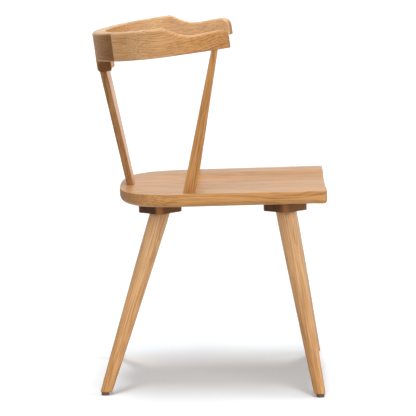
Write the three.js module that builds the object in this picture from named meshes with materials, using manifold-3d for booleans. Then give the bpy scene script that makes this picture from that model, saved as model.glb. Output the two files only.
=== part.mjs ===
// A rigid oak dining chair: a dished seat glued from boards, four splayed turned legs on
// dark mounting blocks, a leaning back splat, two tapered posts and a curved crest rail
// with short arms. Millimetres. +Z is up, the sitter faces -Y, and X runs across the chair.
import * as THREE from "three";
import { mergeVertices } from "three/addons/utils/BufferGeometryUtils.js";
import Module from "manifold-3d";

const wasm = await Module();
wasm.setup();

// ---------------------------------------------------------------- driving dimensions

const glueLine = 0.3; // left between two pieces that meet
const drillPlay = 0.3; // added to the radius of a hole over what it holds
const roundSides = 20; // facets round a leg
const fastenerSides = 12; // facets round a screw, bolt, dowel or nail

const seat = {
  height: 450, // top of the front rim above the floor
  depth: 459.4,
  frontWidth: 504,
  waistWidth: 497, // where the straight sides meet the rear curve
  straightLength: 292, // from the front edge to the rear curve
  rearFullness: 3, // exponent of the rear curve: 2 is an ellipse, more is squarer
  thickness: 28.8,
  slopeDegrees: 1.1, // the rear lies lower than the front
  cornerRadius: 9,
  sideUnderRadius: 13.5, // rounding under the sides and the rear
  frontUnderRadius: 7,
  boards: 5,
};

const dish = {
  depth: 10,
  sideRim: 56, // level rim along each side
  sideSlope: 106, // from the side rim down to the dish's floor
  rearRim: 46,
  rearSlope: 182,
};

const block = {
  side: 76,
  cornerRadius: 15,
  thickness: 22.8,
  turnDegrees: 45,
};

const leg = {
  topDiameter: 42.7,
  footDiameter: 24.8,
  straightLength: 20, // below the block, before the taper starts
  taperPower: 1.25,
};

// Where each leg meets its block and where it stands, from the seat's front edge.
const frontLeg = { topX: 156, topFromFront: 91, footX: 269, footFromFront: 17.6 };
const rearLeg = { topX: 122, topFromFront: 367.3, footX: 227, footFromFront: 488.4 };

const glide = { diameter: 17, height: 6, edgeRadius: 1.5, nailDiameter: 2.4, nailLength: 19 };
const glideNailHead = { diameter: 5, height: 1, recess: 1.5 };

// The bolt and its sleeve stop short of the seat, and the screws short of the dish.
const hangerBolt = { diameter: 8, inLeg: 38 };
const sleeve = { diameter: 13, cover: 2.5, recess: 3 };
const blockScrew = { diameter: 4.5, headDiameter: 8.5, headHeight: 3.5, fromCentre: 27, cover: 5 };

const crest = {
  pivotFromFront: 348, // middle of the half ellipse that the back follows
  aboveSeat: 292.7, // its underside at the pivot, above the front rim
  pitchDegrees: 7.2, // the front ends rise
  rearReach: 163.3, // outer face, behind the pivot
  halfWidth: 270, // outer face, beside the pivot
  fullness: 1.85, // exponent of the back curve
  armReach: 145.4, // in front of the pivot
  armBowRadius: 448, // the arms close in a little towards their ends
  thickness: 24, // along the arms
  backThickness: 29.5, // in the middle of the back
  thinFrom: 60, // distances from the middle between which the back thins to the arms
  thinTo: 220,
  backHeight: 62.5,
  armHeight: 37.9,
  armTipRise: 3.3, // the arms grow by this much to their ends
  humpForward: 4, // in front of the pivot, where the back starts to drop to the arms
  dropLength: 66, // over which it drops
  dropEase: 0.62, // under 1 it drops soon and levels out slowly
  armEndRadius: 20,
  lobeOverhang: 1, // either side of the splat, on the drop in the middle that holds it
  lobeDepth: 27,
  lobeCornerRadius: 7,
  lobeFillet: 16,
};

// Where the crest's glued joints cross its outer face, as a share of the back's quarter turn.
const crestJointShares = { shoulder: 0.5, arm: 0.663 };
const dowel = { diameter: 8, length: 30, lowHeight: 15 };
const dowelHighFromTop = 17;

const tenonCover = 9; // wood left under the tenons in the seat

const splat = {
  thickness: 15.1,
  footWidth: 74,
  topWidth: 124,
  footFromRear: 23.4, // middle of its thickness
  topInset: 13.6, // middle of its thickness, behind the lobe's inner face
  tenonCheek: 3, // its thickness over the tenon's, on each face
  tenonShoulder: 12, // its width over the tenon's, on each edge
  topTenonLength: 14,
};

const post = {
  footFromSide: 38, // middle of its thickness
  footFromFront: 298.9,
  topForward: 107.7, // in front of the crest's pivot
  footWidth: 26.6, // fore and aft
  footThickness: 18,
  topWidth: 11,
  topThickness: 12,
  cornerShare: 0.22, // corner radius over the section's width
  footTenonShoulder: 2.5, // its thickness over the round tenon's, on each face
  topTenonShoulder: 2,
  topTenonLength: 20,
};

// ---------------------------------------------------------------- materials

const oak = () => new THREE.MeshStandardMaterial({ color: 0xc99a63, roughness: 0.45 });
const paleOak = () => new THREE.MeshStandardMaterial({ color: 0xd5b496, roughness: 0.4 });
const darkWood = () => new THREE.MeshStandardMaterial({ color: 0x5e3f2b, roughness: 0.55 });
const beech = () => new THREE.MeshStandardMaterial({ color: 0xd8bc94, roughness: 0.7 });
const nylon = () => new THREE.MeshStandardMaterial({ color: 0x4d4140, roughness: 0.6 });
const steel = () =>
  new THREE.MeshStandardMaterial({ color: 0x9a9c9e, roughness: 0.4, metalness: 1 });

// ---------------------------------------------------------------- solids and frames

const degrees = THREE.MathUtils.degToRad;

/** A closed geometry as a manifold-3d solid. */
function solidOf(geometry) {
  const bare = new THREE.BufferGeometry();
  bare.setAttribute("position", geometry.getAttribute("position"));
  bare.setIndex(geometry.index);
  const merged = mergeVertices(bare, 1e-3);
  const mesh = new wasm.Mesh({
    numProp: 3,
    vertProperties: new Float32Array(merged.getAttribute("position").array),
    triVerts: new Uint32Array(merged.index.array),
  });
  return new wasm.Manifold(mesh);
}

/** A solid as a geometry with flat faces. */
function geometryOf(solid) {
  const mesh = solid.getMesh();
  const geometry = new THREE.BufferGeometry();
  geometry.setAttribute("position", new THREE.BufferAttribute(mesh.vertProperties, 3));
  geometry.setIndex(new THREE.BufferAttribute(mesh.triVerts, 1));
  const flat = geometry.toNonIndexed();
  flat.computeVertexNormals();
  return flat;
}

/** A solid carried from one group's frame to another's. */
function carried(solid, from, to) {
  const matrix = to.matrixWorld.clone().invert().multiply(from.matrixWorld);
  return solid.transform(matrix.elements);
}

/** A group inside another, placed and turned, with its matrices ready for cutting. */
function frame(parent, position, quaternion = new THREE.Quaternion()) {
  const group = new THREE.Group();
  group.position.copy(position);
  group.quaternion.copy(quaternion);
  parent.add(group);
  group.updateWorldMatrix(true, false);
  return group;
}

/** Adds a named mesh to a frame. */
function piece(name, group, solid, material) {
  const mesh = new THREE.Mesh(geometryOf(solid), material);
  mesh.name = name;
  group.add(mesh);
}

function boxSolid(width, depth, height, centre) {
  const geometry = new THREE.BoxGeometry(width, depth, height);
  geometry.translate(centre.x, centre.y, centre.z);
  return solidOf(geometry);
}

/** An upright cylinder between two heights on the Z axis. */
function rodSolid(diameter, bottom, top, sides = fastenerSides) {
  const geometry = new THREE.CylinderGeometry(diameter / 2, diameter / 2, top - bottom, sides);
  geometry.rotateX(Math.PI / 2);
  geometry.translate(0, 0, (top + bottom) / 2);
  return solidOf(geometry);
}

/** A profile of [radius, height] points turned about the Z axis. */
function turnedSolid(profile, sides) {
  const points = profile.map(([radius, height]) => new THREE.Vector2(radius, height));
  const geometry = new THREE.LatheGeometry(points, sides);
  geometry.rotateX(Math.PI / 2);
  return solidOf(geometry);
}

/** A shape in the XY plane raised from bottom to top. */
function raisedSolid(shape, bottom, top, options = {}) {
  const geometry = new THREE.ExtrudeGeometry(shape, {
    depth: top - bottom,
    bevelEnabled: false,
    ...options,
  });
  geometry.translate(0, 0, bottom);
  return solidOf(geometry);
}

/** A shape drawn with its x forwards or backwards (Y) and its y upwards, extruded across X. */
function acrossSolid(shape, halfWidth) {
  const geometry = new THREE.ExtrudeGeometry(shape, {
    depth: 2 * halfWidth,
    bevelEnabled: false,
  });
  geometry.translate(0, 0, -halfWidth);
  geometry.applyMatrix4(
    new THREE.Matrix4().makeBasis(
      new THREE.Vector3(0, 1, 0),
      new THREE.Vector3(0, 0, 1),
      new THREE.Vector3(1, 0, 0),
    ),
  );
  return solidOf(geometry);
}

const quarter = Math.PI / 2;

/** Points round an arc, both ends included. */
function arcPoints(x, y, radius, start, end, steps) {
  return Array.from({ length: steps + 1 }, (_, step) => {
    const turn = start + ((end - start) * step) / steps;
    return new THREE.Vector2(x + radius * Math.cos(turn), y + radius * Math.sin(turn));
  });
}

/** A closed shape through points, leaving out any that repeats the one before it. */
function shapeThrough(points) {
  const apart = 1e-3;
  const kept = points.filter((point, index) => {
    const before = points[(index + points.length - 1) % points.length];
    return point.distanceTo(before) > apart;
  });
  return new THREE.Shape(kept);
}

/** A rectangle with rounded corners about the origin. */
function roundedRectangle(width, depth, radius, cornerSteps = 4) {
  const x = width / 2 - radius;
  const y = depth / 2 - radius;
  const corners = [
    [x, y],
    [-x, y],
    [-x, -y],
    [x, -y],
  ];
  return shapeThrough(
    corners.flatMap(([cornerX, cornerY], index) =>
      arcPoints(cornerX, cornerY, radius, index * quarter, (index + 1) * quarter, cornerSteps),
    ),
  );
}

/** A smooth rise from 0 to 1 between two values. */
function smoothRise(value, start, end) {
  const share = THREE.MathUtils.clamp((value - start) / (end - start), 0, 1);
  return 0.5 - 0.5 * Math.cos(Math.PI * share);
}

/** The turn that takes the Z axis along a direction, with no twist about it. */
function turnAlong(direction) {
  return new THREE.Quaternion().setFromUnitVectors(
    new THREE.Vector3(0, 0, 1),
    direction.clone().normalize(),
  );
}

const far = 1000; // longer than anything here, for cutters that trim one side

/** Everything above (sign 1) or below (sign -1) a level height in the solid's own frame. */
function halfSpace(height, sign) {
  return boxSolid(2 * far, 2 * far, far, new THREE.Vector3(0, 0, height + (sign * far) / 2));
}

// ---------------------------------------------------------------- frames of the chair

const chair = new THREE.Group();
chair.name = "dining_chair";
const xAxis = new THREE.Vector3(1, 0, 0);

// The seat's frame starts at the middle of its front edge, on the rim, with Y to the rear.
const seatFrame = frame(
  chair,
  new THREE.Vector3(0, 0, seat.height),
  new THREE.Quaternion().setFromAxisAngle(xAxis, -degrees(seat.slopeDegrees)),
);

// The crest's frame starts at its pivot, on its underside, with Y to the rear.
const crestFrame = frame(
  chair,
  new THREE.Vector3(0, crest.pivotFromFront, seat.height + crest.aboveSeat),
  new THREE.Quaternion().setFromAxisAngle(xAxis, -degrees(crest.pitchDegrees)),
);

const sides = [
  { label: "left", sign: 1 },
  { label: "right", sign: -1 },
];

/** A point given in a frame, in the chair's own coordinates. */
function worldPoint(group, x, y, z) {
  return group.localToWorld(new THREE.Vector3(x, y, z));
}

// ---------------------------------------------------------------- seat

/** The seat's plan with square front corners: straight sides and a full rear curve. */
function seatOutline(frontEdge) {
  const front = seat.frontWidth / 2;
  const waist = seat.waistWidth / 2;
  const closing = (front - waist) / seat.straightLength;
  const corner = front - closing * frontEdge;
  const rearDepth = seat.depth - seat.straightLength;
  const steps = 14;
  const power = 2 / seat.rearFullness;
  const rear = Array.from({ length: 2 * steps + 1 }, (_, step) => {
    const across = Math.cos((quarter * step) / steps);
    const along = Math.sin((quarter * step) / steps);
    return new THREE.Vector2(
      waist * Math.sign(across) * Math.abs(across) ** power,
      seat.straightLength + rearDepth * along ** power,
    );
  });
  return shapeThrough([
    new THREE.Vector2(-corner, frontEdge),
    new THREE.Vector2(corner, frontEdge),
    ...rear,
  ]);
}

/** How far the top lies below the rim. */
function dishDepth(x, fromFront) {
  const sideEnd = seat.frontWidth / 2 - dish.sideRim;
  const rearEnd = seat.depth - dish.rearRim;
  const across = 1 - smoothRise(Math.abs(x), sideEnd - dish.sideSlope, sideEnd);
  const along = 1 - smoothRise(fromFront, rearEnd - dish.rearSlope, rearEnd);
  return dish.depth * across * along;
}

/** A slab whose top follows the dish. */
function dishedSlab() {
  const cell = 22;
  const width = Math.ceil(seat.frontWidth / cell) * cell + cell;
  const depth = Math.ceil(seat.depth / cell) * cell + cell;
  const geometry = new THREE.BoxGeometry(
    width,
    depth,
    seat.thickness,
    Math.round(width / cell),
    Math.round(depth / cell),
    1,
  );
  geometry.translate(0, seat.depth / 2, -seat.thickness / 2);
  const position = geometry.getAttribute("position");
  for (let index = 0; index < position.count; index++) {
    if (position.getZ(index) > -seat.thickness / 2) {
      position.setZ(index, -dishDepth(position.getX(index), position.getY(index)));
    }
  }
  return solidOf(geometry);
}

/** The seat from the side: a straight front with a rounded under-edge. */
function seatSide() {
  const radius = seat.frontUnderRadius;
  const low = -seat.thickness;
  const steps = 3;
  return shapeThrough([
    new THREE.Vector2(far, far / 4),
    new THREE.Vector2(0, far / 4),
    ...arcPoints(radius, low + radius, radius, 2 * quarter, 3 * quarter, steps),
    new THREE.Vector2(far, low),
  ]);
}

/** What a rounded corner of the plan leaves out, on the left. */
function seatCorner() {
  const radius = seat.cornerRadius;
  const side = seat.frontWidth / 2;
  const outside = side + radius;
  const steps = 4;
  const shape = shapeThrough([
    ...arcPoints(side - radius, radius, radius, 0, -quarter, steps),
    new THREE.Vector2(side - radius, -radius),
    new THREE.Vector2(outside, -radius),
    new THREE.Vector2(outside, radius),
  ]);
  return raisedSolid(shape, -far / 4, far / 4);
}

/** The whole seat before it is ripped into boards. */
function seatBlank() {
  const edge = seat.sideUnderRadius;
  const beyondFront = 2 * edge; // keeps the side rounding off the front edge
  const rounded = raisedSolid(seatOutline(-beyondFront), edge - seat.thickness, edge, {
    bevelEnabled: true,
    bevelThickness: edge,
    bevelSize: edge,
    bevelOffset: -edge,
    bevelSegments: 4,
  });
  const corner = seatCorner();
  return dishedSlab()
    .intersect(rounded)
    .intersect(acrossSolid(seatSide(), far / 2))
    .subtract(corner)
    .subtract(corner.mirror([1, 0, 0]));
}

let seatSolid = seatBlank();

// ---------------------------------------------------------------- legs, blocks and their fixings

const undersideHeight = -seat.thickness - glueLine; // top of the blocks, in the seat's frame
const blockBottom = undersideHeight - block.thickness;

/** A leg with its block, fixings and glide. */
function legSet(end, place, side) {
  const suffix = `${end}_${side.label}`;
  const topX = place.topX * side.sign;
  const top = worldPoint(seatFrame, topX, place.topFromFront, blockBottom);
  const foot = new THREE.Vector3(place.footX * side.sign, place.footFromFront, 0);
  const axis = top.clone().sub(foot);
  const length = axis.length();
  const legFrame = frame(chair, top, turnAlong(axis)); // Z runs up the leg, from its top
  const blockFrame = frame(
    seatFrame,
    new THREE.Vector3(topX, place.topFromFront, undersideHeight),
    new THREE.Quaternion().setFromAxisAngle(
      new THREE.Vector3(0, 0, 1),
      degrees(block.turnDegrees),
    ),
  );
  const footFrame = frame(chair, foot);

  // The leg, run past both ends and trimmed flat against the block and above the glide.
  const topRadius = leg.topDiameter / 2;
  const footRadius = leg.footDiameter / 2;
  const spare = topRadius;
  const steps = 6;
  const profile = [
    [0, spare],
    [topRadius, spare],
  ];
  for (let step = 0; step <= steps; step++) {
    const share = step / steps;
    const down = leg.straightLength + (length - leg.straightLength) * share;
    profile.push([topRadius - (topRadius - footRadius) * share ** leg.taperPower, -down]);
  }
  profile.push([footRadius, -length - spare], [0, -length - spare]);
  let legSolid = turnedSolid(profile.reverse(), roundSides);
  const aboveBlock = carried(halfSpace(blockBottom - glueLine, 1), seatFrame, legFrame);
  const soleHeight = glide.height + glueLine;
  const underSole = carried(halfSpace(soleHeight, -1), footFrame, legFrame);
  legSolid = legSolid.subtract(aboveBlock).subtract(underSole);

  // The block, screwed up into the seat.
  const plan = roundedRectangle(block.side, block.side, block.cornerRadius);
  let blockSolid = raisedSolid(plan, -block.thickness, 0);

  // The threaded sleeve sits inside the block and the hanger bolt runs through it.
  const seatUp = new THREE.Vector3(0, 0, 1).applyQuaternion(seatFrame.quaternion);
  const tilt = axis.angleTo(seatUp);
  const sleeveTilted = (sleeve.diameter / 2 + drillPlay) * Math.sin(tilt);
  const boltTop = (block.thickness - sleeve.cover - sleeveTilted) / Math.cos(tilt);
  const boltSolid = rodSolid(hangerBolt.diameter, -hangerBolt.inLeg, boltTop);
  const boltHole = rodSolid(
    hangerBolt.diameter + 2 * drillPlay,
    -hangerBolt.inLeg - drillPlay,
    boltTop + drillPlay,
  );
  const sleeveSolid = rodSolid(sleeve.diameter, sleeve.recess, boltTop).subtract(
    rodSolid(hangerBolt.diameter + 2 * drillPlay, -far / 4, far / 4),
  );
  const sleeveHole = rodSolid(sleeve.diameter + 2 * drillPlay, -far / 4, boltTop + drillPlay);
  legSolid = legSolid.subtract(boltHole);
  blockSolid = blockSolid.subtract(carried(sleeveHole, legFrame, blockFrame));

  // Two screws on one diagonal, with their heads sunk in the block.
  const screwLow = -block.thickness + drillPlay;
  const screwHigh = seat.thickness - dish.depth - blockScrew.cover;
  const screwProfile = [
    [0, screwLow],
    [blockScrew.headDiameter / 2, screwLow],
    [blockScrew.diameter / 2, screwLow + blockScrew.headHeight],
    [blockScrew.diameter / 2, screwHigh],
    [0, screwHigh],
  ];
  const screwHoleProfile = [
    [0, screwLow - far / 4],
    [blockScrew.headDiameter / 2 + drillPlay, screwLow - far / 4],
    [blockScrew.headDiameter / 2 + drillPlay, screwLow],
    [blockScrew.diameter / 2 + drillPlay, screwLow + blockScrew.headHeight],
    [blockScrew.diameter / 2 + drillPlay, screwHigh + drillPlay],
    [0, screwHigh + drillPlay],
  ];
  const screwPlaces = [-1, 1].map(
    (way) => new THREE.Vector3(way * blockScrew.fromCentre, -way * blockScrew.fromCentre, 0),
  );
  screwPlaces.forEach((at, index) => {
    const screwFrame = frame(blockFrame, at);
    const hole = turnedSolid(screwHoleProfile, fastenerSides);
    blockSolid = blockSolid.subtract(carried(hole, screwFrame, blockFrame));
    seatSolid = seatSolid.subtract(carried(hole, screwFrame, seatFrame));
    const screw = turnedSolid(screwProfile, fastenerSides);
    piece(`block_screw_${suffix}_${index + 1}`, screwFrame, screw, steel());
  });

  // The glide stands level under the leg, with a nail up through it.
  const glideRadius = glide.diameter / 2;
  const glideProfile = [
    [0, 0],
    [glideRadius - glide.edgeRadius, 0],
    [glideRadius, glide.edgeRadius],
    [glideRadius, glide.height],
    [0, glide.height],
  ];
  let glideSolid = turnedSolid(glideProfile, fastenerSides);
  const nailProfile = [
    [0, 0],
    [glideNailHead.diameter / 2, 0],
    [glideNailHead.diameter / 2, glideNailHead.height],
    [glide.nailDiameter / 2, glideNailHead.height],
    [glide.nailDiameter / 2, glide.nailLength],
    [0, glide.nailLength],
  ];
  const nailHoleProfile = [
    [0, -far / 4],
    [glideNailHead.diameter / 2 + drillPlay, -far / 4],
    [glideNailHead.diameter / 2 + drillPlay, glideNailHead.height + drillPlay],
    [glide.nailDiameter / 2 + drillPlay, glideNailHead.height + drillPlay],
    [glide.nailDiameter / 2 + drillPlay, glide.nailLength + drillPlay],
    [0, glide.nailLength + drillPlay],
  ];
  const nailFrame = frame(footFrame, new THREE.Vector3(0, 0, glideNailHead.recess));
  const nailHole = turnedSolid(nailHoleProfile, fastenerSides);
  glideSolid = glideSolid.subtract(carried(nailHole, nailFrame, footFrame));
  legSolid = legSolid.subtract(carried(nailHole, nailFrame, legFrame));

  piece(`leg_${suffix}`, legFrame, legSolid, oak());
  piece(`leg_block_${suffix}`, blockFrame, blockSolid, darkWood());
  piece(`hanger_bolt_${suffix}`, legFrame, boltSolid, steel());
  piece(`threaded_sleeve_${suffix}`, legFrame, sleeveSolid, steel());
  piece(`foot_glide_${suffix}`, footFrame, glideSolid, nylon());
  const nail = turnedSolid(nailProfile, fastenerSides);
  piece(`glide_nail_${suffix}`, nailFrame, nail, steel());
}

for (const side of sides) {
  legSet("front", frontLeg, side);
  legSet("rear", rearLeg, side);
}

// ---------------------------------------------------------------- crest rail

/** A point on the crest's outer face: share 0 is the middle of the back, 1 is beside the pivot. */
function backPoint(share) {
  const turn = quarter * share;
  const power = 2 / crest.fullness;
  return new THREE.Vector2(
    crest.halfWidth * Math.sin(turn) ** power,
    crest.rearReach * Math.cos(turn) ** power,
  );
}

/** A point on an arm's outer face, forward of the pivot. */
function armPoint(forward) {
  const inward = crest.armBowRadius - Math.sqrt(crest.armBowRadius ** 2 - forward ** 2);
  return new THREE.Vector2(crest.halfWidth - inward, -forward);
}

/** The outer face's points on the left, from the middle of the back to the arm's end. */
function outerLine() {
  const backSteps = 16;
  const armSteps = 5;
  const points = [];
  for (let step = 0; step <= backSteps; step++) {
    points.push(backPoint(step / backSteps));
  }
  for (let step = 1; step <= armSteps; step++) {
    points.push(armPoint((crest.armReach * step) / armSteps));
  }
  return points;
}

/** The direction from the outer face straight into the rail, at a point between two others. */
function inwardAt(before, after) {
  const along = after.clone().sub(before).normalize();
  return new THREE.Vector2(along.y, -along.x);
}

/** The rail's thickness at a point of its outer face. */
function thicknessAt(point) {
  const share = smoothRise(Math.abs(point.x), crest.thinFrom, crest.thinTo);
  return THREE.MathUtils.lerp(crest.backThickness, crest.thickness, share);
}

/** The inner face's points, straight in from the outer ones. */
function innerLine(points) {
  return points.map((point, index) => {
    const before = index === 0 ? new THREE.Vector2(-points[1].x, points[1].y) : points[index - 1];
    const after = index === points.length - 1 ? point : points[index + 1];
    return point.clone().addScaledVector(inwardAt(before, after), thicknessAt(point));
  });
}

/** The rail's plan, with both arms. */
function railPlan() {
  const outer = outerLine();
  const inner = innerLine(outer);
  const mirrored = (point) => new THREE.Vector2(-point.x, point.y);
  const ring = [
    ...outer,
    ...inner.slice().reverse(),
    ...inner.slice(1).map(mirrored),
    ...outer.slice(1).reverse().map(mirrored),
  ];
  return new THREE.Shape(ring);
}

/** The rail from the side: a high back that drops to low arms with round ends. */
function railSide() {
  const rear = crest.rearReach + crest.thickness;
  const end = -crest.armReach;
  const radius = crest.armEndRadius;
  const steps = 10;
  const endSteps = 5;
  const tipHeight = crest.armHeight + crest.armTipRise;
  const slope = Array.from({ length: steps + 1 }, (_, step) => {
    const share = step / steps;
    const forward = crest.humpForward + crest.dropLength * share;
    const fallen = smoothRise(share ** crest.dropEase, 0, 1);
    const drop = fallen * (crest.backHeight - crest.armHeight);
    return new THREE.Vector2(-forward, crest.backHeight - drop);
  });
  return shapeThrough([
    new THREE.Vector2(rear, -crest.lobeDepth - crest.thickness),
    new THREE.Vector2(rear, crest.backHeight),
    ...slope,
    ...arcPoints(end + radius, tipHeight - radius, radius, quarter, 2 * quarter, endSteps),
    new THREE.Vector2(end, -crest.lobeDepth - crest.thickness),
  ]);
}

/** The room under the rail beside the lobe, cut away from the full-depth rail. */
function underRail() {
  const half = splat.topWidth / 2 + crest.lobeOverhang;
  const low = -crest.lobeDepth;
  const corner = crest.lobeCornerRadius;
  const fillet = crest.lobeFillet;
  const steps = 4;
  const shape = shapeThrough([
    new THREE.Vector2(far, 0),
    ...arcPoints(half + fillet, -fillet, fillet, quarter, 2 * quarter, steps),
    ...arcPoints(half - corner, low + corner, corner, 0, -quarter, steps),
    new THREE.Vector2(half - corner, low - corner),
    new THREE.Vector2(far, low - corner),
  ]);
  const geometry = new THREE.ExtrudeGeometry(shape, { depth: 2 * far, bevelEnabled: false });
  geometry.translate(0, 0, -far);
  geometry.rotateX(Math.PI / 2);
  const cut = solidOf(geometry);
  return cut.add(cut.mirror([1, 0, 0]));
}

const halfPlay = glueLine / 2;

/** A frame in a joint: Y along the outward face normal, Z up, X along the rail. */
function jointFrame(share, side) {
  const nudge = 0.002;
  const point = backPoint(share);
  const inward = inwardAt(backPoint(share - nudge), backPoint(share + nudge));
  const middle = point.clone().addScaledVector(inward, thicknessAt(point) / 2);
  const turn = Math.atan2(-inward.y, -inward.x * side.sign) - Math.PI / 2;
  return frame(
    crestFrame,
    new THREE.Vector3(middle.x * side.sign, middle.y, 0),
    new THREE.Quaternion().setFromAxisAngle(new THREE.Vector3(0, 0, 1), turn),
  );
}

/** Everything on one side of a joint, past the glue line, in the crest's frame. */
function beyondJoint(joint, way) {
  const centre = new THREE.Vector3((way * far) / 2 + way * halfPlay, 0, 0);
  return carried(boxSolid(far, far, far, centre), joint, crestFrame);
}

let railSolid = raisedSolid(railPlan(), -crest.lobeDepth, crest.backHeight)
  .intersect(acrossSolid(railSide(), far))
  .subtract(underRail());

const crestPieces = {};

/** Cuts the rail at its four joints. A joint frame's X runs to the arm on the left side. */
function splitRail() {
  crestPieces.crest_centre = railSolid;
  for (const side of sides) {
    const toArm = side.sign;
    const shoulderJoint = jointFrame(crestJointShares.shoulder, side);
    const armJoint = jointFrame(crestJointShares.arm, side);
    const thisSide = boxSolid(far, 2 * far, far, new THREE.Vector3((side.sign * far) / 2, 0, 0));
    const half = railSolid.intersect(thisSide);
    crestPieces[`crest_shoulder_${side.label}`] = half
      .intersect(beyondJoint(shoulderJoint, toArm))
      .intersect(beyondJoint(armJoint, -toArm));
    crestPieces[`crest_arm_${side.label}`] = half.intersect(beyondJoint(armJoint, toArm));
    const outside = beyondJoint(shoulderJoint, toArm).add(
      carried(boxSolid(2 * glueLine, far, far, new THREE.Vector3()), shoulderJoint, crestFrame),
    );
    crestPieces.crest_centre = crestPieces.crest_centre.subtract(outside.intersect(thisSide));
  }
}

splitRail();

/** Cuts one hole in every crest piece that it meets. */
function cutCrest(hole) {
  for (const name of Object.keys(crestPieces)) {
    crestPieces[name] = crestPieces[name].subtract(hole);
  }
}

/** Two dowels through each joint, along the rail. */
function crestDowels() {
  const heights = { low: dowel.lowHeight, high: crest.backHeight - dowelHighFromTop };
  for (const side of sides) {
    for (const [jointName, share] of Object.entries(crestJointShares)) {
      const joint = jointFrame(share, side);
      for (const [level, height] of Object.entries(heights)) {
        const alongRail = new THREE.Quaternion().setFromAxisAngle(
          new THREE.Vector3(0, 1, 0),
          Math.PI / 2,
        );
        const dowelFrame = frame(joint, new THREE.Vector3(0, 0, height), alongRail);
        const reach = dowel.length / 2;
        const hole = rodSolid(
          dowel.diameter + 2 * drillPlay,
          -reach - drillPlay,
          reach + drillPlay,
        );
        cutCrest(carried(hole, dowelFrame, crestFrame));
        piece(
          `crest_dowel_${jointName}_${side.label}_${level}`,
          dowelFrame,
          rodSolid(dowel.diameter, -reach, reach),
          beech(),
        );
      }
    }
  }
}

crestDowels();

// ---------------------------------------------------------------- splat

/** A board that widens upwards, with a tenon at each end. */
function makeSplat() {
  const innerFace = crest.rearReach - crest.backThickness;
  const foot = worldPoint(seatFrame, 0, seat.depth - splat.footFromRear, 0);
  const top = worldPoint(crestFrame, 0, innerFace + splat.topInset, -crest.lobeDepth);
  const axis = top.clone().sub(foot);
  const length = axis.length();
  const splatFrame = frame(chair, foot, turnAlong(axis));
  const spare = splat.thickness;
  const flare = (splat.topWidth - splat.footWidth) / 2 / length;
  const outline = new THREE.Shape();
  const halfAt = (height) => splat.footWidth / 2 + flare * height;
  outline.moveTo(-halfAt(-spare), -spare);
  outline.lineTo(halfAt(-spare), -spare);
  outline.lineTo(halfAt(length + spare), length + spare);
  outline.lineTo(-halfAt(length + spare), length + spare);
  outline.closePath();
  const geometry = new THREE.ExtrudeGeometry(outline, {
    depth: splat.thickness,
    bevelEnabled: false,
  });
  geometry.translate(0, 0, -splat.thickness / 2);
  geometry.rotateX(Math.PI / 2);
  const onSeat = carried(halfSpace(glueLine, -1), seatFrame, splatFrame);
  const underLobe = carried(
    halfSpace(-crest.lobeDepth - glueLine, 1),
    crestFrame,
    splatFrame,
  );
  const board = solidOf(geometry).subtract(onSeat).subtract(underLobe);

  const tenon = (boardWidth, bottom, topEnd, play) =>
    boxSolid(
      boardWidth - 2 * splat.tenonShoulder + 2 * play,
      splat.thickness - 2 * splat.tenonCheek + 2 * play,
      topEnd - bottom,
      new THREE.Vector3(0, 0, (bottom + topEnd) / 2),
    );
  const footTenon = (play) =>
    tenon(splat.footWidth, tenonCover - seat.thickness - play, spare, play);
  const topTenon = (play) =>
    tenon(splat.topWidth, length - spare, length + splat.topTenonLength + play, play);
  seatSolid = seatSolid.subtract(carried(footTenon(drillPlay), splatFrame, seatFrame));
  cutCrest(carried(topTenon(drillPlay), splatFrame, crestFrame));
  piece("back_splat", splatFrame, board.add(footTenon(0)).add(topTenon(0)), oak());
}

makeSplat();

// ---------------------------------------------------------------- posts

/** A bar with rounded corners whose section changes evenly along Z. */
function taperedBar(low, high, bottom, top) {
  const shape = roundedRectangle(1, 1, post.cornerShare);
  const geometry = new THREE.ExtrudeGeometry(shape, { depth: 1, bevelEnabled: false });
  const position = geometry.getAttribute("position");
  for (let index = 0; index < position.count; index++) {
    const share = position.getZ(index);
    position.setXYZ(
      index,
      position.getX(index) * THREE.MathUtils.lerp(low.thickness, high.thickness, share),
      position.getY(index) * THREE.MathUtils.lerp(low.width, high.width, share),
      THREE.MathUtils.lerp(bottom, top, share),
    );
  }
  return solidOf(geometry);
}

/** A post from the seat's rim to the underside of an arm. */
function makePost(side) {
  const footX = seat.frontWidth / 2 - post.footFromSide;
  const foot = worldPoint(seatFrame, footX * side.sign, post.footFromFront, 0);
  const armX = armPoint(post.topForward).x - crest.thickness / 2;
  const top = worldPoint(crestFrame, armX * side.sign, -post.topForward, 0);
  const axis = top.clone().sub(foot);
  const length = axis.length();
  const postFrame = frame(chair, foot, turnAlong(axis));
  const spare = post.footWidth / 2;
  const growth = spare / length;
  const at = (share) => ({
    width: THREE.MathUtils.lerp(post.footWidth, post.topWidth, share),
    thickness: THREE.MathUtils.lerp(post.footThickness, post.topThickness, share),
  });
  const onSeat = carried(halfSpace(glueLine, -1), seatFrame, postFrame);
  const underArm = carried(halfSpace(-glueLine, 1), crestFrame, postFrame);
  const bar = taperedBar(at(-growth), at(1 + growth), -spare, length + spare)
    .subtract(onSeat)
    .subtract(underArm);
  const footDiameter = post.footThickness - 2 * post.footTenonShoulder;
  const topDiameter = post.topThickness - 2 * post.topTenonShoulder;
  const footTenon = (play) =>
    rodSolid(footDiameter + 2 * play, tenonCover - seat.thickness - play, spare);
  const topTenon = (play) =>
    rodSolid(topDiameter + 2 * play, length - spare, length + post.topTenonLength + play);
  seatSolid = seatSolid.subtract(carried(footTenon(drillPlay), postFrame, seatFrame));
  cutCrest(carried(topTenon(drillPlay), postFrame, crestFrame));
  const solid = bar.add(footTenon(0)).add(topTenon(0));
  piece(`arm_post_${side.label}`, postFrame, solid, oak());
}

for (const side of sides) {
  makePost(side);
}

// ---------------------------------------------------------------- cut pieces, last

for (const [name, solid] of Object.entries(crestPieces)) {
  piece(name, crestFrame, solid, oak());
}

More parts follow.
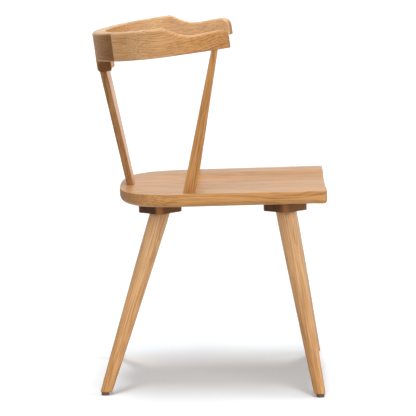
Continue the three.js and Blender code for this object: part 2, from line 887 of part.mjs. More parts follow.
/** Rips the seat into boards of one width, with a glue line between them. */
function ripSeat() {
  const pitch = seat.frontWidth / seat.boards;
  for (let index = 0; index < seat.boards; index++) {
    const centre = (index - (seat.boards - 1) / 2) * pitch;
    const outermost = index === 0 || index === seat.boards - 1;
    const width = pitch - (outermost ? halfPlay : glueLine);
    const shift = outermost ? (Math.sign(centre) * halfPlay) / 2 : 0;
    const slab = boxSolid(width, far, far, new THREE.Vector3(centre + shift, seat.depth / 2, 0));
    piece(`seat_board_${index + 1}`, seatFrame, seatSolid.intersect(slab), paleOak());
  }
}

ripSeat();

// The chair stands on its origin, which is the middle of its overall box.
const overall = new THREE.Box3().setFromObject(chair, true);
chair.position.y = -(overall.min.y + overall.max.y) / 2;

export default chair;
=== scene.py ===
"""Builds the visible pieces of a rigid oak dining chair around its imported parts.

Metres. +Z is up, the sitter faces -Y, and X runs across the chair.
"""

import math
from contextlib import contextmanager

import bmesh
import bpy
from bpy.props import FloatProperty, FloatVectorProperty, IntProperty, PointerProperty
from mathutils import Matrix, Vector


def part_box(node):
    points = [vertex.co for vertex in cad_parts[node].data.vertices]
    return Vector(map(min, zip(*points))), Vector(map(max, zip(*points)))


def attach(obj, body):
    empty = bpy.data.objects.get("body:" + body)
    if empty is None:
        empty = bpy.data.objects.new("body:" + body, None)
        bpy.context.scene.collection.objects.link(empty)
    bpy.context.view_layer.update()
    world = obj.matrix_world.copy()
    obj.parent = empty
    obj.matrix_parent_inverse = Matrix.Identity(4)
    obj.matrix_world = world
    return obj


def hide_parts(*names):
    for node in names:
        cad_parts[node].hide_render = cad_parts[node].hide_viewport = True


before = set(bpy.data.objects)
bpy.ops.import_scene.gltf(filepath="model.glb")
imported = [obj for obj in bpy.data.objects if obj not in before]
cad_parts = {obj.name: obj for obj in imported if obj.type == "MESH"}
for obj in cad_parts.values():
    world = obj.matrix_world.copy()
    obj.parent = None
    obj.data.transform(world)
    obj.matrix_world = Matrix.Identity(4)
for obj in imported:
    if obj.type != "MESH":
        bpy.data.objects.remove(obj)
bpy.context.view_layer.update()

bl_info = {
    "name": "Oak Dining Chair",
    "version": (1, 0, 0),
    "blender": (4, 5, 0),
    "location": "3D View > Sidebar > Chair",
    "description": "Models the pieces of an oak dining chair and the studio round it",
    "category": "Add Mesh",
}

MM = 0.001
GLUE_LINE = 0.3 * MM
UP = Vector((0, 0, 1))
SIDES = {"left": 1, "right": -1}
CORNERS = [(end, side) for end in ("front", "rear") for side in SIDES]


# ---------------------------------------------------------------- sizes and colours


def length(name, description, default):
    """A size in metres that the sidebar shows as a length."""
    return FloatProperty(
        name=name, description=description, default=default, subtype="DISTANCE", unit="LENGTH"
    )


def angle(name, description, degrees):
    """An angle that the sidebar shows in degrees."""
    return FloatProperty(
        name=name,
        description=description,
        default=math.radians(degrees),
        subtype="ANGLE",
        unit="ROTATION",
    )


def linear(hex_colour):
    """An sRGB hex colour as the linear RGBA that shaders take."""
    channels = [int(hex_colour[start : start + 2], 16) / 255 for start in (0, 2, 4)]
    return (
        *[c / 12.92 if c <= 0.04045 else ((c + 0.055) / 1.055) ** 2.4 for c in channels],
        1.0,
    )


def colour(name, description, hex_colour):
    """A colour that the sidebar shows as a swatch."""
    return FloatVectorProperty(
        name=name,
        description=description,
        default=linear(hex_colour),
        size=4,
        min=0.0,
        max=1.0,
        subtype="COLOR",
    )


class SeatSizes(bpy.types.PropertyGroup):
    """Sizes of the dished seat and the blocks under it."""

    depth: length("Depth", "Front edge to the middle of the rear edge", 459.4 * MM)
    front_width: length("Front Width", "Across the front edge", 504 * MM)
    waist_width: length("Waist Width", "Where the straight sides meet the rear curve", 497 * MM)
    straight: length("Straight Sides", "Front edge to the rear curve", 292 * MM)
    thickness: length("Thickness", "At the rim", 28.8 * MM)
    slope: angle("Slope", "The rear lies lower than the front", 1.1)
    corner_radius: length("Corner Radius", "Front corners, seen from above", 9 * MM)
    arris: length("Arris", "Softening of the top edge", 1.6 * MM)
    front_under: length("Front Under-Radius", "Rounding under the front edge", 7 * MM)
    side_under: length("Side Under-Radius", "Rounding under the sides and the rear", 13.5 * MM)
    dish_depth: length("Dish Depth", "How far the middle is hollowed", 10 * MM)
    boards: IntProperty(name="Boards", description="Boards glued side by side", default=5, min=2)
    block_side: length("Block Side", "Across a leg block's flats", 76 * MM)
    block_corner: length("Block Corner", "Radius of a leg block's corners", 15 * MM)
    block_arris: length("Block Arris", "Softening of a leg block's edges", 0.8 * MM)
    block_thickness: length("Block Thickness", "Height of a leg block", 22.8 * MM)


class LegSizes(bpy.types.PropertyGroup):
    """Sizes of the turned legs and the glides under them."""

    top_diameter: length("Top Diameter", "Under the block", 42.7 * MM)
    foot_diameter: length("Foot Diameter", "At the floor", 24.8 * MM)
    straight: length("Straight Top", "Below the block, before the taper starts", 20 * MM)
    foot_rounding: length("Foot Rounding", "Radius round the sawn foot", 4 * MM)
    glide_diameter: length("Glide Diameter", "Across a foot glide", 17 * MM)
    glide_height: length("Glide Height", "Thickness of a foot glide", 6 * MM)


class BackSizes(bpy.types.PropertyGroup):
    """Sizes of the crest rail, the splat and the posts."""

    pivot_from_front: length("Pivot From Front", "Middle of the crest's curve", 348 * MM)
    above_seat: length("Above Seat", "The crest's underside at its pivot", 292.7 * MM)
    pitch: angle("Pitch", "The arms rise to the front", 7.2)
    rear_reach: length("Rear Reach", "Outer face behind the pivot", 163.3 * MM)
    half_width: length("Half Width", "Outer face beside the pivot", 270 * MM)
    arm_reach: length("Arm Reach", "Arms in front of the pivot", 145.4 * MM)
    thickness: length("Arm Thickness", "Of the crest rail along the arms", 24 * MM)
    back_thickness: length("Back Thickness", "Of the crest rail's middle", 29.5 * MM)
    back_height: length("Back Height", "Of the crest rail behind", 62.5 * MM)
    arm_height: length("Arm Height", "Of the crest rail along the arms", 37.9 * MM)
    lobe_depth: length("Lobe Depth", "The drop that holds the splat", 27 * MM)
    splat_thickness: length("Splat Thickness", "Of the back splat", 15.1 * MM)
    splat_foot: length("Splat Foot", "Width at the seat", 74 * MM)
    splat_top: length("Splat Top", "Width at the crest", 124 * MM)
    post_foot: length("Post Foot", "Fore and aft, at the seat", 26.6 * MM)
    post_top: length("Post Top", "Fore and aft, at the arm", 11 * MM)


class Finishes(bpy.types.PropertyGroup):
    """Colours of the woods and fittings."""

    oak_light: colour("Oak Light", "Between the growth rings", "CF9A5F")
    oak_middle: colour("Oak Middle", "Most of the wood", "C58E53")
    oak_dark: colour("Oak Dark", "Dense bands and open pores", "A06D38")
    oak_end: colour("Oak End Grain", "Where the fibres are cut across", "714A2D")
    # The pale and deep colours are boards' own tones, and also painted light and painted shade
    # where a piece's tone asks for them.
    pale_light: colour("Pale Light", "Between the growth rings of pale boards", "E8C399")
    pale_middle: colour("Pale Middle", "Most of a pale board", "E3BB8E")
    pale_dark: colour("Pale Dark", "Dense bands and pores of pale boards", "CA9E70")
    deep_light: colour("Deep Light", "Between the growth rings of dark boards", "9F7752")
    deep_middle: colour("Deep Middle", "Most of a dark board", "926B48")
    deep_dark: colour("Deep Dark", "Dense bands and pores of dark boards", "6C482B")
    stained: colour("Stained Block", "The dark leg blocks", "785233")
    # A painted highlight: this paler colour on the blocks' rounded corners stands in for the
    # lamps' reflection there.
    stained_corner_highlight: colour("Rubbed Stain", "Stain worn thin on the corners", "A06E48")
    stained_pore: colour("Stained Pore", "Stain gathered in the pores", "4A2F1C")
    glide: colour("Glide", "Moulded foot glides", "5C4A46")
    steel: colour("Steel", "Bolts, sleeves, nails and screws", "B4B6B8")
    beech: colour("Beech", "Dowels", "DCC09A")


GROUPS = {
    "chair_seat": SeatSizes,
    "chair_legs": LegSizes,
    "chair_back": BackSizes,
    "chair_finishes": Finishes,
}


def sizes(group):
    """The scene's own copy of one group of sizes or colours."""
    return getattr(bpy.context.scene, group)


# ---------------------------------------------------------------- modelling by hand, in code


def deselect():
    """Leaves nothing selected, in object mode."""
    if bpy.context.mode != "OBJECT":
        bpy.ops.object.mode_set(mode="OBJECT")
    bpy.ops.object.select_all(action="DESELECT")


def take(piece):
    """Makes a piece the only one selected."""
    deselect()
    piece.select_set(True)
    bpy.context.view_layer.objects.active = piece


def named(name):
    """Names the piece that an operator has just added."""
    piece = bpy.context.active_object
    piece.name = name
    piece.data.name = name
    return piece


@contextmanager
def editing(piece, mode="VERT"):
    """Edit mode on one piece, with nothing selected in it."""
    take(piece)
    bpy.ops.object.mode_set(mode="EDIT")
    bpy.ops.mesh.select_mode(type=mode)
    bpy.ops.mesh.select_all(action="DESELECT")
    yield
    bpy.ops.object.mode_set(mode="OBJECT")


def pick(piece, kind, test):
    """Selects the verts, edges or faces that pass a test, in edit mode."""
    mesh = bmesh.from_edit_mesh(piece.data)
    for item in getattr(mesh, kind):
        if test(item):
            item.select_set(True)
    bmesh.update_edit_mesh(piece.data)


def middle(item):
    """The middle of an edge or a face."""
    return sum((vert.co for vert in item.verts), Vector()) / len(item.verts)


def copy_of(piece, name):
    """A copy of a piece with its own mesh."""
    take(piece)
    bpy.ops.object.duplicate(linked=False)
    return named(name)


def modify(piece, kind, **settings):
    """Adds a modifier to a piece and applies it."""
    take(piece)
    modifier = piece.modifiers.new(kind.title(), kind)
    for key, value in settings.items():
        setattr(modifier, key, value)
    bpy.ops.object.modifier_apply(modifier=modifier.name)


def cut(piece, point, normal, keep=-1):
    """Saws a piece along a plane and closes it. keep is the side of the normal that stays."""
    with editing(piece):
        bpy.ops.mesh.select_all(action="SELECT")
        bpy.ops.mesh.bisect(
            plane_co=point,
            plane_no=normal,
            use_fill=True,
            clear_outer=keep < 0,
            clear_inner=keep > 0,
            threshold=1e-6,
        )


def place(piece, where=Matrix()):
    """Puts a piece modelled at the origin where it belongs, with its place in its mesh."""
    take(piece)
    piece.matrix_world = where @ piece.matrix_world
    bpy.ops.object.transform_apply(location=True, rotation=True, scale=True)


def remove(piece):
    """Takes a helper piece out of the scene."""
    bpy.data.objects.remove(piece)


def carve(piece, tool):
    """Cuts a helper piece's shape out of a piece, and takes the helper away."""
    modify(piece, "BOOLEAN", object=tool, operation="DIFFERENCE", solver="EXACT")
    remove(tool)


def upright(run):
    """A test for edges that rise by more than half a run."""
    return lambda edge: abs(edge.verts[0].co.z - edge.verts[1].co.z) > run / 2


def upright_box(name, size, height, top=(1, 1)):
    """A box on the Z axis, with its middle at a height and its top scaled across and deep."""
    deselect()
    bpy.ops.mesh.primitive_cube_add(size=1, location=(0, 0, height), scale=size)
    box = named(name)
    place(box)
    if top != (1, 1):
        with editing(box, "FACE"):
            pick(box, "faces", lambda face: face.normal.z > 0.9)
            bpy.ops.transform.resize(
                value=(*top, 1), center_override=(0, 0, height + size[2] / 2)
            )
    return box


def arc(x, y, radius, start, end, steps):
    """Points round an arc between two angles in quarter turns, both ends included."""
    turns = [math.pi / 2 * lerp(start, end, step / steps) for step in range(steps + 1)]
    return [(x + radius * math.cos(turn), y + radius * math.sin(turn)) for turn in turns]


def settle_normals(piece):
    """Merges doubles and turns every face outwards."""
    with editing(piece):
        bpy.ops.mesh.select_all(action="SELECT")
        bpy.ops.mesh.remove_doubles(threshold=1e-6)
        bpy.ops.mesh.normals_make_consistent(inside=False)


def smooth(piece, degrees=35):
    """Smooth shading that keeps flat faces flat beside their rounded edges."""
    take(piece)
    bpy.ops.object.shade_smooth_by_angle(angle=math.radians(degrees))
    modify(piece, "WEIGHTED_NORMAL", keep_sharp=True, weight=80)


def turned(name, profile, sides):
    """A piece turned about the Z axis through (radius, height) points, closed by flat ends."""
    deselect()
    radius, height = profile[0]
    bpy.ops.mesh.primitive_circle_add(
        vertices=sides, radius=radius, fill_type="NGON", location=(0, 0, height)
    )
    piece = named(name)
    place(piece)
    with editing(piece, "FACE"):
        bpy.ops.mesh.select_all(action="SELECT")
        for next_radius, next_height in profile[1:]:
            bpy.ops.mesh.extrude_region_move(
                TRANSFORM_OT_translate={"value": (0, 0, next_height - height)}
            )
            share = next_radius / radius
            bpy.ops.transform.resize(
                value=(share, share, 1), center_override=(0, 0, next_height)
            )
            radius, height = next_radius, next_height
    settle_normals(piece)
    return piece


def extrude_ring(piece, where):
    """Extrudes the selected ring and moves each new vertex to where(its station)."""
    bpy.ops.mesh.extrude_region_move()
    mesh = bmesh.from_edit_mesh(piece.data)
    station = mesh.verts.layers.int["station"]
    for vert in mesh.verts:
        if vert.select:
            vert.co = where(vert[station])
    bmesh.update_edit_mesh(piece.data)


def number_stations(piece):
    """Numbers a new ring's vertices, so that every ring extruded from it keeps the numbers."""
    stations = piece.data.attributes.new("station", "INT", "POINT")
    stations.data.foreach_set("value", range(len(piece.data.vertices)))


def smooth_rise(value, start, end):
    """A smooth rise from 0 to 1 between two values."""
    share = min(max((value - start) / (end - start), 0), 1)
    return 0.5 - 0.5 * math.cos(math.pi * share)


def lerp(low, high, share):
    """A value part of the way between two others."""
    return low + (high - low) * share


# ---------------------------------------------------------------- the wood in each piece


def board_frame(origin, along, through):
    """A sawn board's own frame: X along the fibres, Z through its thickness."""
    x = Vector(along).normalized()
    y = Vector(through).cross(x).normalized()
    z = x.cross(y)
    matrix = Matrix((x, y, z)).transposed().to_4x4()
    matrix.translation = origin
    return matrix


def give_grain(piece, board, in_log, tone=(0, 0), end_share=(1, 1), edge_tone=0):
    """Stores where each point of a piece lies in the log that its board was sawn from.

    in_log is the piece's place in the log, from its heart: X along it, Y and Z across it.
    tone is how much paler the wood is at the board's start and at its end, or darker if it is
    negative, and edge_tone how much paler its narrow edges are than that. Both hold the boards'
    own tones and also painted light and shade, such as a painted sheen on top faces.
    end_share says how dark the end grain is, at the start and at the end.
    """
    mesh = piece.data
    to_board = board.inverted()
    spots = [to_board @ vertex.co for vertex in mesh.vertices]
    points = mesh.attributes.new("grain", "FLOAT_VECTOR", "POINT")
    for spot, stored in zip(spots, points.data):
        stored.vector = spot + Vector(in_log)
    start, end = min(spot.x for spot in spots), max(spot.x for spot in spots)
    along, across = board.col[0].xyz, board.col[1].xyz
    normals = [normal.vector for normal in mesh.corner_normals]
    tones, ends = [], []
    for corner, normal in zip(mesh.loops, normals):
        share = (spots[corner.vertex_index].x - start) / (end - start)
        tones.append(lerp(*tone, share) + edge_tone * abs(normal.dot(across)))
        ends.append(lerp(*end_share, share) * abs(normal.dot(along)))
    mesh.attributes.new("tone", "FLOAT", "CORNER").data.foreach_set("value", tones)
    mesh.attributes.new("end_grain", "FLOAT", "CORNER").data.foreach_set("value", ends)


# The finish that each of the chair's material slots has.
FINISHES = {
    "oak": "satin_lacquered_oak",
    "dark_wood": "walnut_stained_wood",
    "glide_plastic": "moulded_nylon",
    "steel": "zinc_plated_steel",
}


def finish_piece(piece, slot, packed):
    """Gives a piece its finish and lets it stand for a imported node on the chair's one body."""
    piece.data.materials.clear()
    piece.data.materials.append(material(FINISHES[slot]))
    station = piece.data.attributes.get("station")
    if station:
        piece.data.attributes.remove(station)
    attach(piece, "root")
    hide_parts(packed)


def finish_wood(piece, slot, packed, board, in_log, **grain):
    """Smooths a wooden piece and gives it its grain and its finish."""
    smooth(piece)
    give_grain(piece, board, in_log, **grain)
    finish_piece(piece, slot, packed)


# ---------------------------------------------------------------- materials


def node(tree, kind, inputs=(), stops=(), out=0, **settings):
    """Adds a shader node with its settings, its inputs' values or links, and a ramp's stops.

    The inputs are a dict of sockets by name, or a list in the node's own order. A stop is a
    position and a grey level or a colour. It hands back the result called out, or the first.
    """
    made = tree.nodes.new("ShaderNode" + kind)
    made.location = (220 * len(tree.nodes), 0)
    for key, value in settings.items():
        setattr(made, key, value)
    for socket, value in inputs.items() if isinstance(inputs, dict) else enumerate(inputs):
        if isinstance(value, bpy.types.NodeSocket):
            tree.links.new(value, made.inputs[socket])
        else:
            made.inputs[socket].default_value = value
    if stops:
        elements = made.color_ramp.elements
        while len(elements) < len(stops):
            elements.new(0.5)
        for element, (position, value) in zip(elements, stops):
            element.position = position
            element.color = value if hasattr(value, "__len__") else (value, value, value, 1)
    return made.outputs[out] if made.outputs else made


BLEND = {"data_type": "RGBA", "out": "Result"}  # what makes a Mix node blend two colours


def wood_attributes(tree):
    """What give_grain stored: the place in the log, the tone and the end grain."""
    wanted = {"grain": "Vector", "tone": "Fac", "end_grain": "Fac"}
    return [node(tree, "Attribute", out=out, attribute_name=name) for name, out in wanted.items()]


def wood_patches(tree, grain, patch, detail=2.0, roughness=0.5, out=0):
    """Soft patches in the wood, of one length along the fibres and one width across them."""
    along, across = patch
    scale = (1 / along, 1 / across, 1 / across)
    patches = {
        "Vector": node(tree, "Mapping", {"Vector": grain, "Scale": scale}),
        "Scale": 1.0,
        "Detail": detail,
        "Roughness": roughness,
    }
    return node(tree, "TexNoise", patches, out=out)


def speckles(tree, patch, detail=2.0):
    """Soft speckles of one size all over a piece."""
    spot = node(tree, "TexCoord", out="Object")
    return node(tree, "TexNoise", {"Vector": spot, "Scale": 1 / patch, "Detail": detail})


def darkened(paint, share):
    """A colour with its red, green and blue multiplied by a share."""
    return [share * channel for channel in paint[:3]] + [1.0]


# The oak's figure: lengths along the fibres and widths across them.
WANDER = (170 * MM, 42 * MM)
WANDER_REACH = (0, 28 * MM, 28 * MM)  # how far a growth band wanders
RING = 5 * MM  # real rings stand 2 to 4 mm apart; these show at arm's length
DENSE_YEARS = 2.6  # rings in one run of dense or pale years
FADE = (160 * MM, 22 * MM)
STREAK = (90 * MM, 3 * MM)
PORE = (16 * MM, 0.7 * MM)  # twice as wide as the real ones
CLOUD = (420 * MM, 70 * MM)
RING_WEIGHT, STREAK_WEIGHT, CLOUD_WEIGHT, PORE_WEIGHT = 0.42, 1.05, 0.4, 0.08


def satin_oak(tree, paint):
    """Satin-lacquered white oak: straight open grain, soft growth bands, a broad dull gleam."""
    grain, tone, end = wood_attributes(tree)

    # Growth bands wander by some millimetres along the board, which draws the flames.
    wander = wood_patches(tree, grain, WANDER, out="Color")
    centred = node(tree, "VectorMath", [wander, (0.5, 0.5, 0.5)], operation="SUBTRACT")
    spot = node(tree, "VectorMath", [centred, WANDER_REACH, grain], operation="MULTIPLY_ADD")
    across = node(tree, "VectorMath", [spot, (0, 1, 1)], operation="MULTIPLY")
    radius = node(tree, "VectorMath", [across], out="Value", operation="LENGTH")
    rings = node(tree, "Math", [radius, RING], operation="DIVIDE")
    band = node(tree, "Math", [rings], operation="FRACT")
    season = (0.0, 0.25), (0.35, 0.0), (0.8, 0.55), (0.93, 1.0), (1.0, 0.25)
    dense = node(tree, "ValToRGB", [band], season)

    # Some years grew dense and others pale, and every band fades in and out along the board.
    run = node(tree, "Math", [rings, DENSE_YEARS], operation="DIVIDE")
    run = {"W": run, "Scale": 1.0, "Detail": 1.0}
    years = node(tree, "TexNoise", run, noise_dimensions="1D")
    fade = wood_patches(tree, grain, FADE, detail=1.0)
    strength = node(tree, "Math", [years, fade], operation="MULTIPLY")
    strength = node(tree, "ValToRGB", [strength], [(0.13, 0.0), (0.38, 1.0)])
    faded = node(tree, "Math", [dense, strength], operation="MULTIPLY")

    streaks = wood_patches(tree, grain, STREAK, detail=3.0, roughness=0.6)
    pores = wood_patches(tree, grain, PORE, detail=1.0)
    pores = node(tree, "ValToRGB", [pores], [(0.6, 0.0), (0.7, 1.0)])
    clouds = wood_patches(tree, grain, CLOUD, detail=1.0)

    # 0 is the palest wood and 1 the darkest.
    shade = node(tree, "Math", [faded, RING_WEIGHT], operation="MULTIPLY")
    for part, weight in (streaks, STREAK_WEIGHT), (clouds, CLOUD_WEIGHT), (pores, PORE_WEIGHT):
        shade = node(tree, "Math", [part, weight, shade], operation="MULTIPLY_ADD")

    # Boards differ, and the tone also paints light and shade: paler wood is creamier, darker
    # wood browner, and all show their grain.
    wood, pale, deep = (
        node(tree, "ValToRGB", [shade], [(0.5, light), (0.73, most), (1.0, dark)])
        for light, most, dark in (
            (paint.oak_light, paint.oak_middle, paint.oak_dark),
            (paint.pale_light, paint.pale_middle, paint.pale_dark),
            (paint.deep_light, paint.deep_middle, paint.deep_dark),
        )
    )
    cut_across = node(tree, "ValToRGB", [end], [(0.2, 0.0), (0.62, 0.85), (0.95, 1.0)])
    deeper = node(tree, "Math", [tone, -1.0], operation="MULTIPLY")
    for share, other in (tone, pale), (deeper, deep), (cut_across, paint.oak_end):
        wood = node(tree, "Mix", {"Factor": share, "A": wood, "B": other}, **BLEND)

    # End grain and dark boards drink the lacquer and stay dull.
    thirsty = node(tree, "Math", [tone, -0.9], operation="MULTIPLY")
    dull = node(tree, "Math", [cut_across, thirsty], operation="MAXIMUM")
    # The lacquer lies a little duller over the open pores.
    gleam = node(tree, "MapRange", {"Value": streaks, "To Min": 0.3, "To Max": 0.42})
    relief = node(tree, "Math", [streaks, pores], operation="SUBTRACT")
    bump = {"Height": relief, "Strength": 0.12, "Distance": 0.12 * MM}
    coat = {
        "Base Color": wood,
        "Roughness": node(tree, "Math", [dull, 0.5, gleam], operation="MULTIPLY_ADD"),
        "Specular IOR Level": node(
            tree, "MapRange", {"Value": dull, "To Min": 0.26, "To Max": 0.0}
        ),
        "IOR": 1.5,
        "Normal": node(tree, "Bump", bump),
    }
    return node(tree, "BsdfPrincipled", coat)


def stained_wood(tree, paint):
    """Dark walnut-stained hardwood: the stain gathers in the pores, under thin lacquer."""
    grain, side, end = wood_attributes(tree)
    streaks = wood_patches(tree, grain, (40 * MM, 2.5 * MM), detail=3.0, roughness=0.6)
    mottle = wood_patches(tree, grain, (60 * MM, 22 * MM), detail=1.0)
    shade = node(tree, "Math", [streaks, mottle], operation="ADD")
    # The ends take up more stain; on the blocks' rear facets this darkening is also painted
    # shade.
    shade = node(tree, "Math", [end, 0.6, shade], operation="MULTIPLY_ADD")
    shade = node(tree, "Math", [shade, 0.5], operation="MULTIPLY")
    stain = node(tree, "ValToRGB", [shade], [(0.45, paint.stained), (0.8, paint.stained_pore)])
    # A painted highlight: a paler colour on the rounded corners, where the side meets the end
    # grain, stands in for the lamps' reflection there.
    corner = node(tree, "Math", [side, end], operation="MULTIPLY")
    corner_highlight = node(tree, "MapRange", {"Value": corner, "From Max": 0.42})
    highlighted = {"Factor": corner_highlight, "A": stain, "B": paint.stained_corner_highlight}
    coat = {
        "Base Color": node(tree, "Mix", highlighted, **BLEND),
        "Roughness": 0.5,
        "Specular IOR Level": 0.1,
        "IOR": 1.5,
        "Normal": node(
            tree, "Bump", {"Height": streaks, "Strength": 0.15, "Distance": 0.12 * MM}
        ),
    }
    return node(tree, "BsdfPrincipled", coat)


def moulded_nylon(tree, paint):
    """Injection-moulded nylon: even, dull, with fine speckles and the mould's own texture."""
    speckle = speckles(tree, 1.2 * MM)
    tints = {"Factor": speckle, "A": paint.glide, "B": darkened(paint.glide, 0.6)}
    mould = {"Height": speckle, "Strength": 0.2, "Distance": 0.05 * MM}
    skin = {
        "Base Color": node(tree, "Mix", tints, **BLEND),
        "Roughness": 0.55,
        "IOR": 1.53,
        "Normal": node(tree, "Bump", mould),
    }
    return node(tree, "BsdfPrincipled", skin)


def zinc_steel(tree, paint):
    """Zinc-plated steel: bright grey with faint cloudy patches from the plating bath."""
    cloud = speckles(tree, 3 * MM, detail=3.0)
    tints = {"Factor": cloud, "A": paint.steel, "B": darkened(paint.steel, 0.7)}
    plating = {
        "Base Color": node(tree, "Mix", tints, **BLEND),
        "Metallic": 1.0,
        "Roughness": node(tree, "MapRange", {"Value": cloud, "To Min": 0.28, "To Max": 0.45}),
    }
    return node(tree, "BsdfPrincipled", plating)


def raw_beech(tree, paint):
    """Unfinished beech dowel: pale and even, with short dark flecks."""
    spot = node(tree, "TexCoord", out="Object")
    flecks = wood_patches(tree, spot, (3 * MM, 1 * MM))
    stops = (0.35, paint.beech), (0.72, darkened(paint.beech, 0.62))
    bare = {
        "Base Color": node(tree, "ValToRGB", [flecks], stops),
        "Roughness": 0.7,
        "IOR": 1.5,
    }
    return node(tree, "BsdfPrincipled", bare)


def seen_directly(tree):
    """1 for what the eye or a reflection sees, 0 for the light that falls on things."""
    seen = node(tree, "LightPath", out="Is Camera Ray")
    for ray in ("Is Glossy Ray", "Is Transmission Ray"):
        seen = node(tree, "Math", [seen, node(tree, "LightPath", out=ray)], operation="MAXIMUM")
    return seen


# Over 1, so that the lit paper is as plain white to the eye as the backdrop behind it.
PAPER_LIGHT = (1.1, 1.145, 1.18, 1)
PAPER_DARK = (1.08, 1.125, 1.16, 1)
# It throws less light back up, so that the undersides stay dark.
PAPER_BOUNCE = linear("CFCFCF")


def seamless_paper(tree, paint):
    """Matt white seamless paper: white to the eye, with only the chair's soft shadow on it."""
    fibres = {"Factor": speckles(tree, 4 * MM), "A": PAPER_LIGHT, "B": PAPER_DARK}
    white = node(tree, "Mix", fibres, **BLEND)
    paper = {"Factor": seen_directly(tree), "A": PAPER_BOUNCE, "B": white}
    return node(tree, "BsdfDiffuse", {"Color": node(tree, "Mix", paper, **BLEND)})


SHADERS = {
    "satin_lacquered_oak": satin_oak,
    "walnut_stained_wood": stained_wood,
    "moulded_nylon": moulded_nylon,
    "zinc_plated_steel": zinc_steel,
    "raw_beech": raw_beech,
    "matt_white_paper": seamless_paper,
}


def material(name):
    """A material, made when it is first asked for."""
    kept = bpy.data.materials.get(name)
    if kept is None:
        kept = bpy.data.materials.new(name)
        kept.use_nodes = True
        tree = kept.node_tree
        tree.nodes.clear()
        shader = SHADERS[name](tree, sizes("chair_finishes"))
        node(tree, "OutputMaterial", {"Surface": shader})
    return kept


# ---------------------------------------------------------------- frames of the chair


def seat_frame():
    """From the middle of the seat's front edge, on the rim, with Y to the rear."""
    seat = sizes("chair_seat")
    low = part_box("seat_board_3")[0]
    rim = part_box("seat_board_1")[1].z
    # The sloping front face leans forward of its top edge, down to the under-rounding.
    lean = (seat.thickness - seat.front_under) * math.sin(seat.slope)
    return Matrix.Translation((0, low.y + lean, rim)) @ Matrix.Rotation(-seat.slope, 4, "X")


def crest_frame():
    """From the crest's pivot, on its underside, with Y to the rear."""
    back = sizes("chair_back")
    origin = seat_frame().translation + Vector((0, back.pivot_from_front, back.above_seat))
    return Matrix.Translation(origin) @ Matrix.Rotation(-back.pitch, 4, "X")


def axis_frame(foot, top):
    """From a foot, with Z up the line to the top."""
    turn = UP.rotation_difference(top - foot)
    return Matrix.Translation(foot) @ turn.to_matrix().to_4x4()


# ---------------------------------------------------------------- seat

DISH = {"side_rim": 56 * MM, "side_slope": 106 * MM, "rear_rim": 46 * MM, "rear_slope": 182 * MM}
REAR_POWER = 2 / 3  # of the rear curve: 1 is an ellipse, less is squarer
# Cells along the middle of the front, a front corner, a side and the rear curve.
FRONT_CELLS, CORNER_CELLS, SIDE_CELLS, REAR_CELLS = 27, 6, 31, 43
ARRIS_STEPS, UNDER_STEPS = 4, 8
# Each board's tone, and how far it was sawn from the heart of its log. All the tones are
# paler than plain oak as a painted sheen on the seat's top; their differences are the boards'
# own.
BOARD_WOOD = ((0.21, 0.012), (0.05, -0.03), (0.12, 0.02), (0.04, -0.01), (0.13, 0.03))


def dish_height(x, from_front):
    """Height of the seat's top against its rim."""
    seat = sizes("chair_seat")
    side_end = seat.front_width / 2 - DISH["side_rim"]
    rear_end = seat.depth - DISH["rear_rim"]
    across = 1 - smooth_rise(abs(x), side_end - DISH["side_slope"], side_end)
    along = 1 - smooth_rise(from_front, rear_end - DISH["rear_slope"], rear_end)
    return -seat.dish_depth * across * along


def spaced(points, count):
    """Points at even steps along a line through others, both ends included."""
    lengths = [0.0]
    for before, after in zip(points, points[1:]):
        lengths.append(lengths[-1] + (after - before).length)
    made = []
    segment = 0
    for step in range(count + 1):
        wanted = lengths[-1] * step / count
        while segment < len(points) - 2 and lengths[segment + 1] < wanted:
            segment += 1
        run = lengths[segment + 1] - lengths[segment]
        made.append(points[segment].lerp(points[segment + 1], (wanted - lengths[segment]) / run))
    return made


def seat_half_outline():
    """The seat's plan on the left: middle of the front edge to the middle of the rear."""
    seat = sizes("chair_seat")
    half, waist, radius = seat.front_width / 2, seat.waist_width / 2, seat.corner_radius
    front = spaced([Vector((0, 0)), Vector((half - radius, 0))], FRONT_CELLS)
    corner = [Vector(spot) for spot in arc(half - radius, radius, radius, -1, 0, CORNER_CELLS)]
    side = spaced([Vector((half, radius)), Vector((waist, seat.straight))], SIDE_CELLS)
    reach = seat.depth - seat.straight
    curve = [
        Vector((waist * x**REAR_POWER, seat.straight + reach * y**REAR_POWER))
        for x, y in arc(0, 0, 1, 0, 1, steps=200)[:-1]
    ]
    curve.append(Vector((0, seat.depth)))
    return front + corner[1:] + side[1:] + spaced(curve, REAR_CELLS)[1:]


def seat_outline():
    """The seat's whole plan, from the middle of the front edge round by the left."""
    half = seat_half_outline()
    return half + [Vector((-point.x, point.y)) for point in reversed(half[1:-1])]


def outward_at(points, index):
    """The outward direction of a closed plan at one of its points."""
    along = points[(index + 1) % len(points)] - points[index - 1]
    return Vector((along.y, -along.x)).normalized()


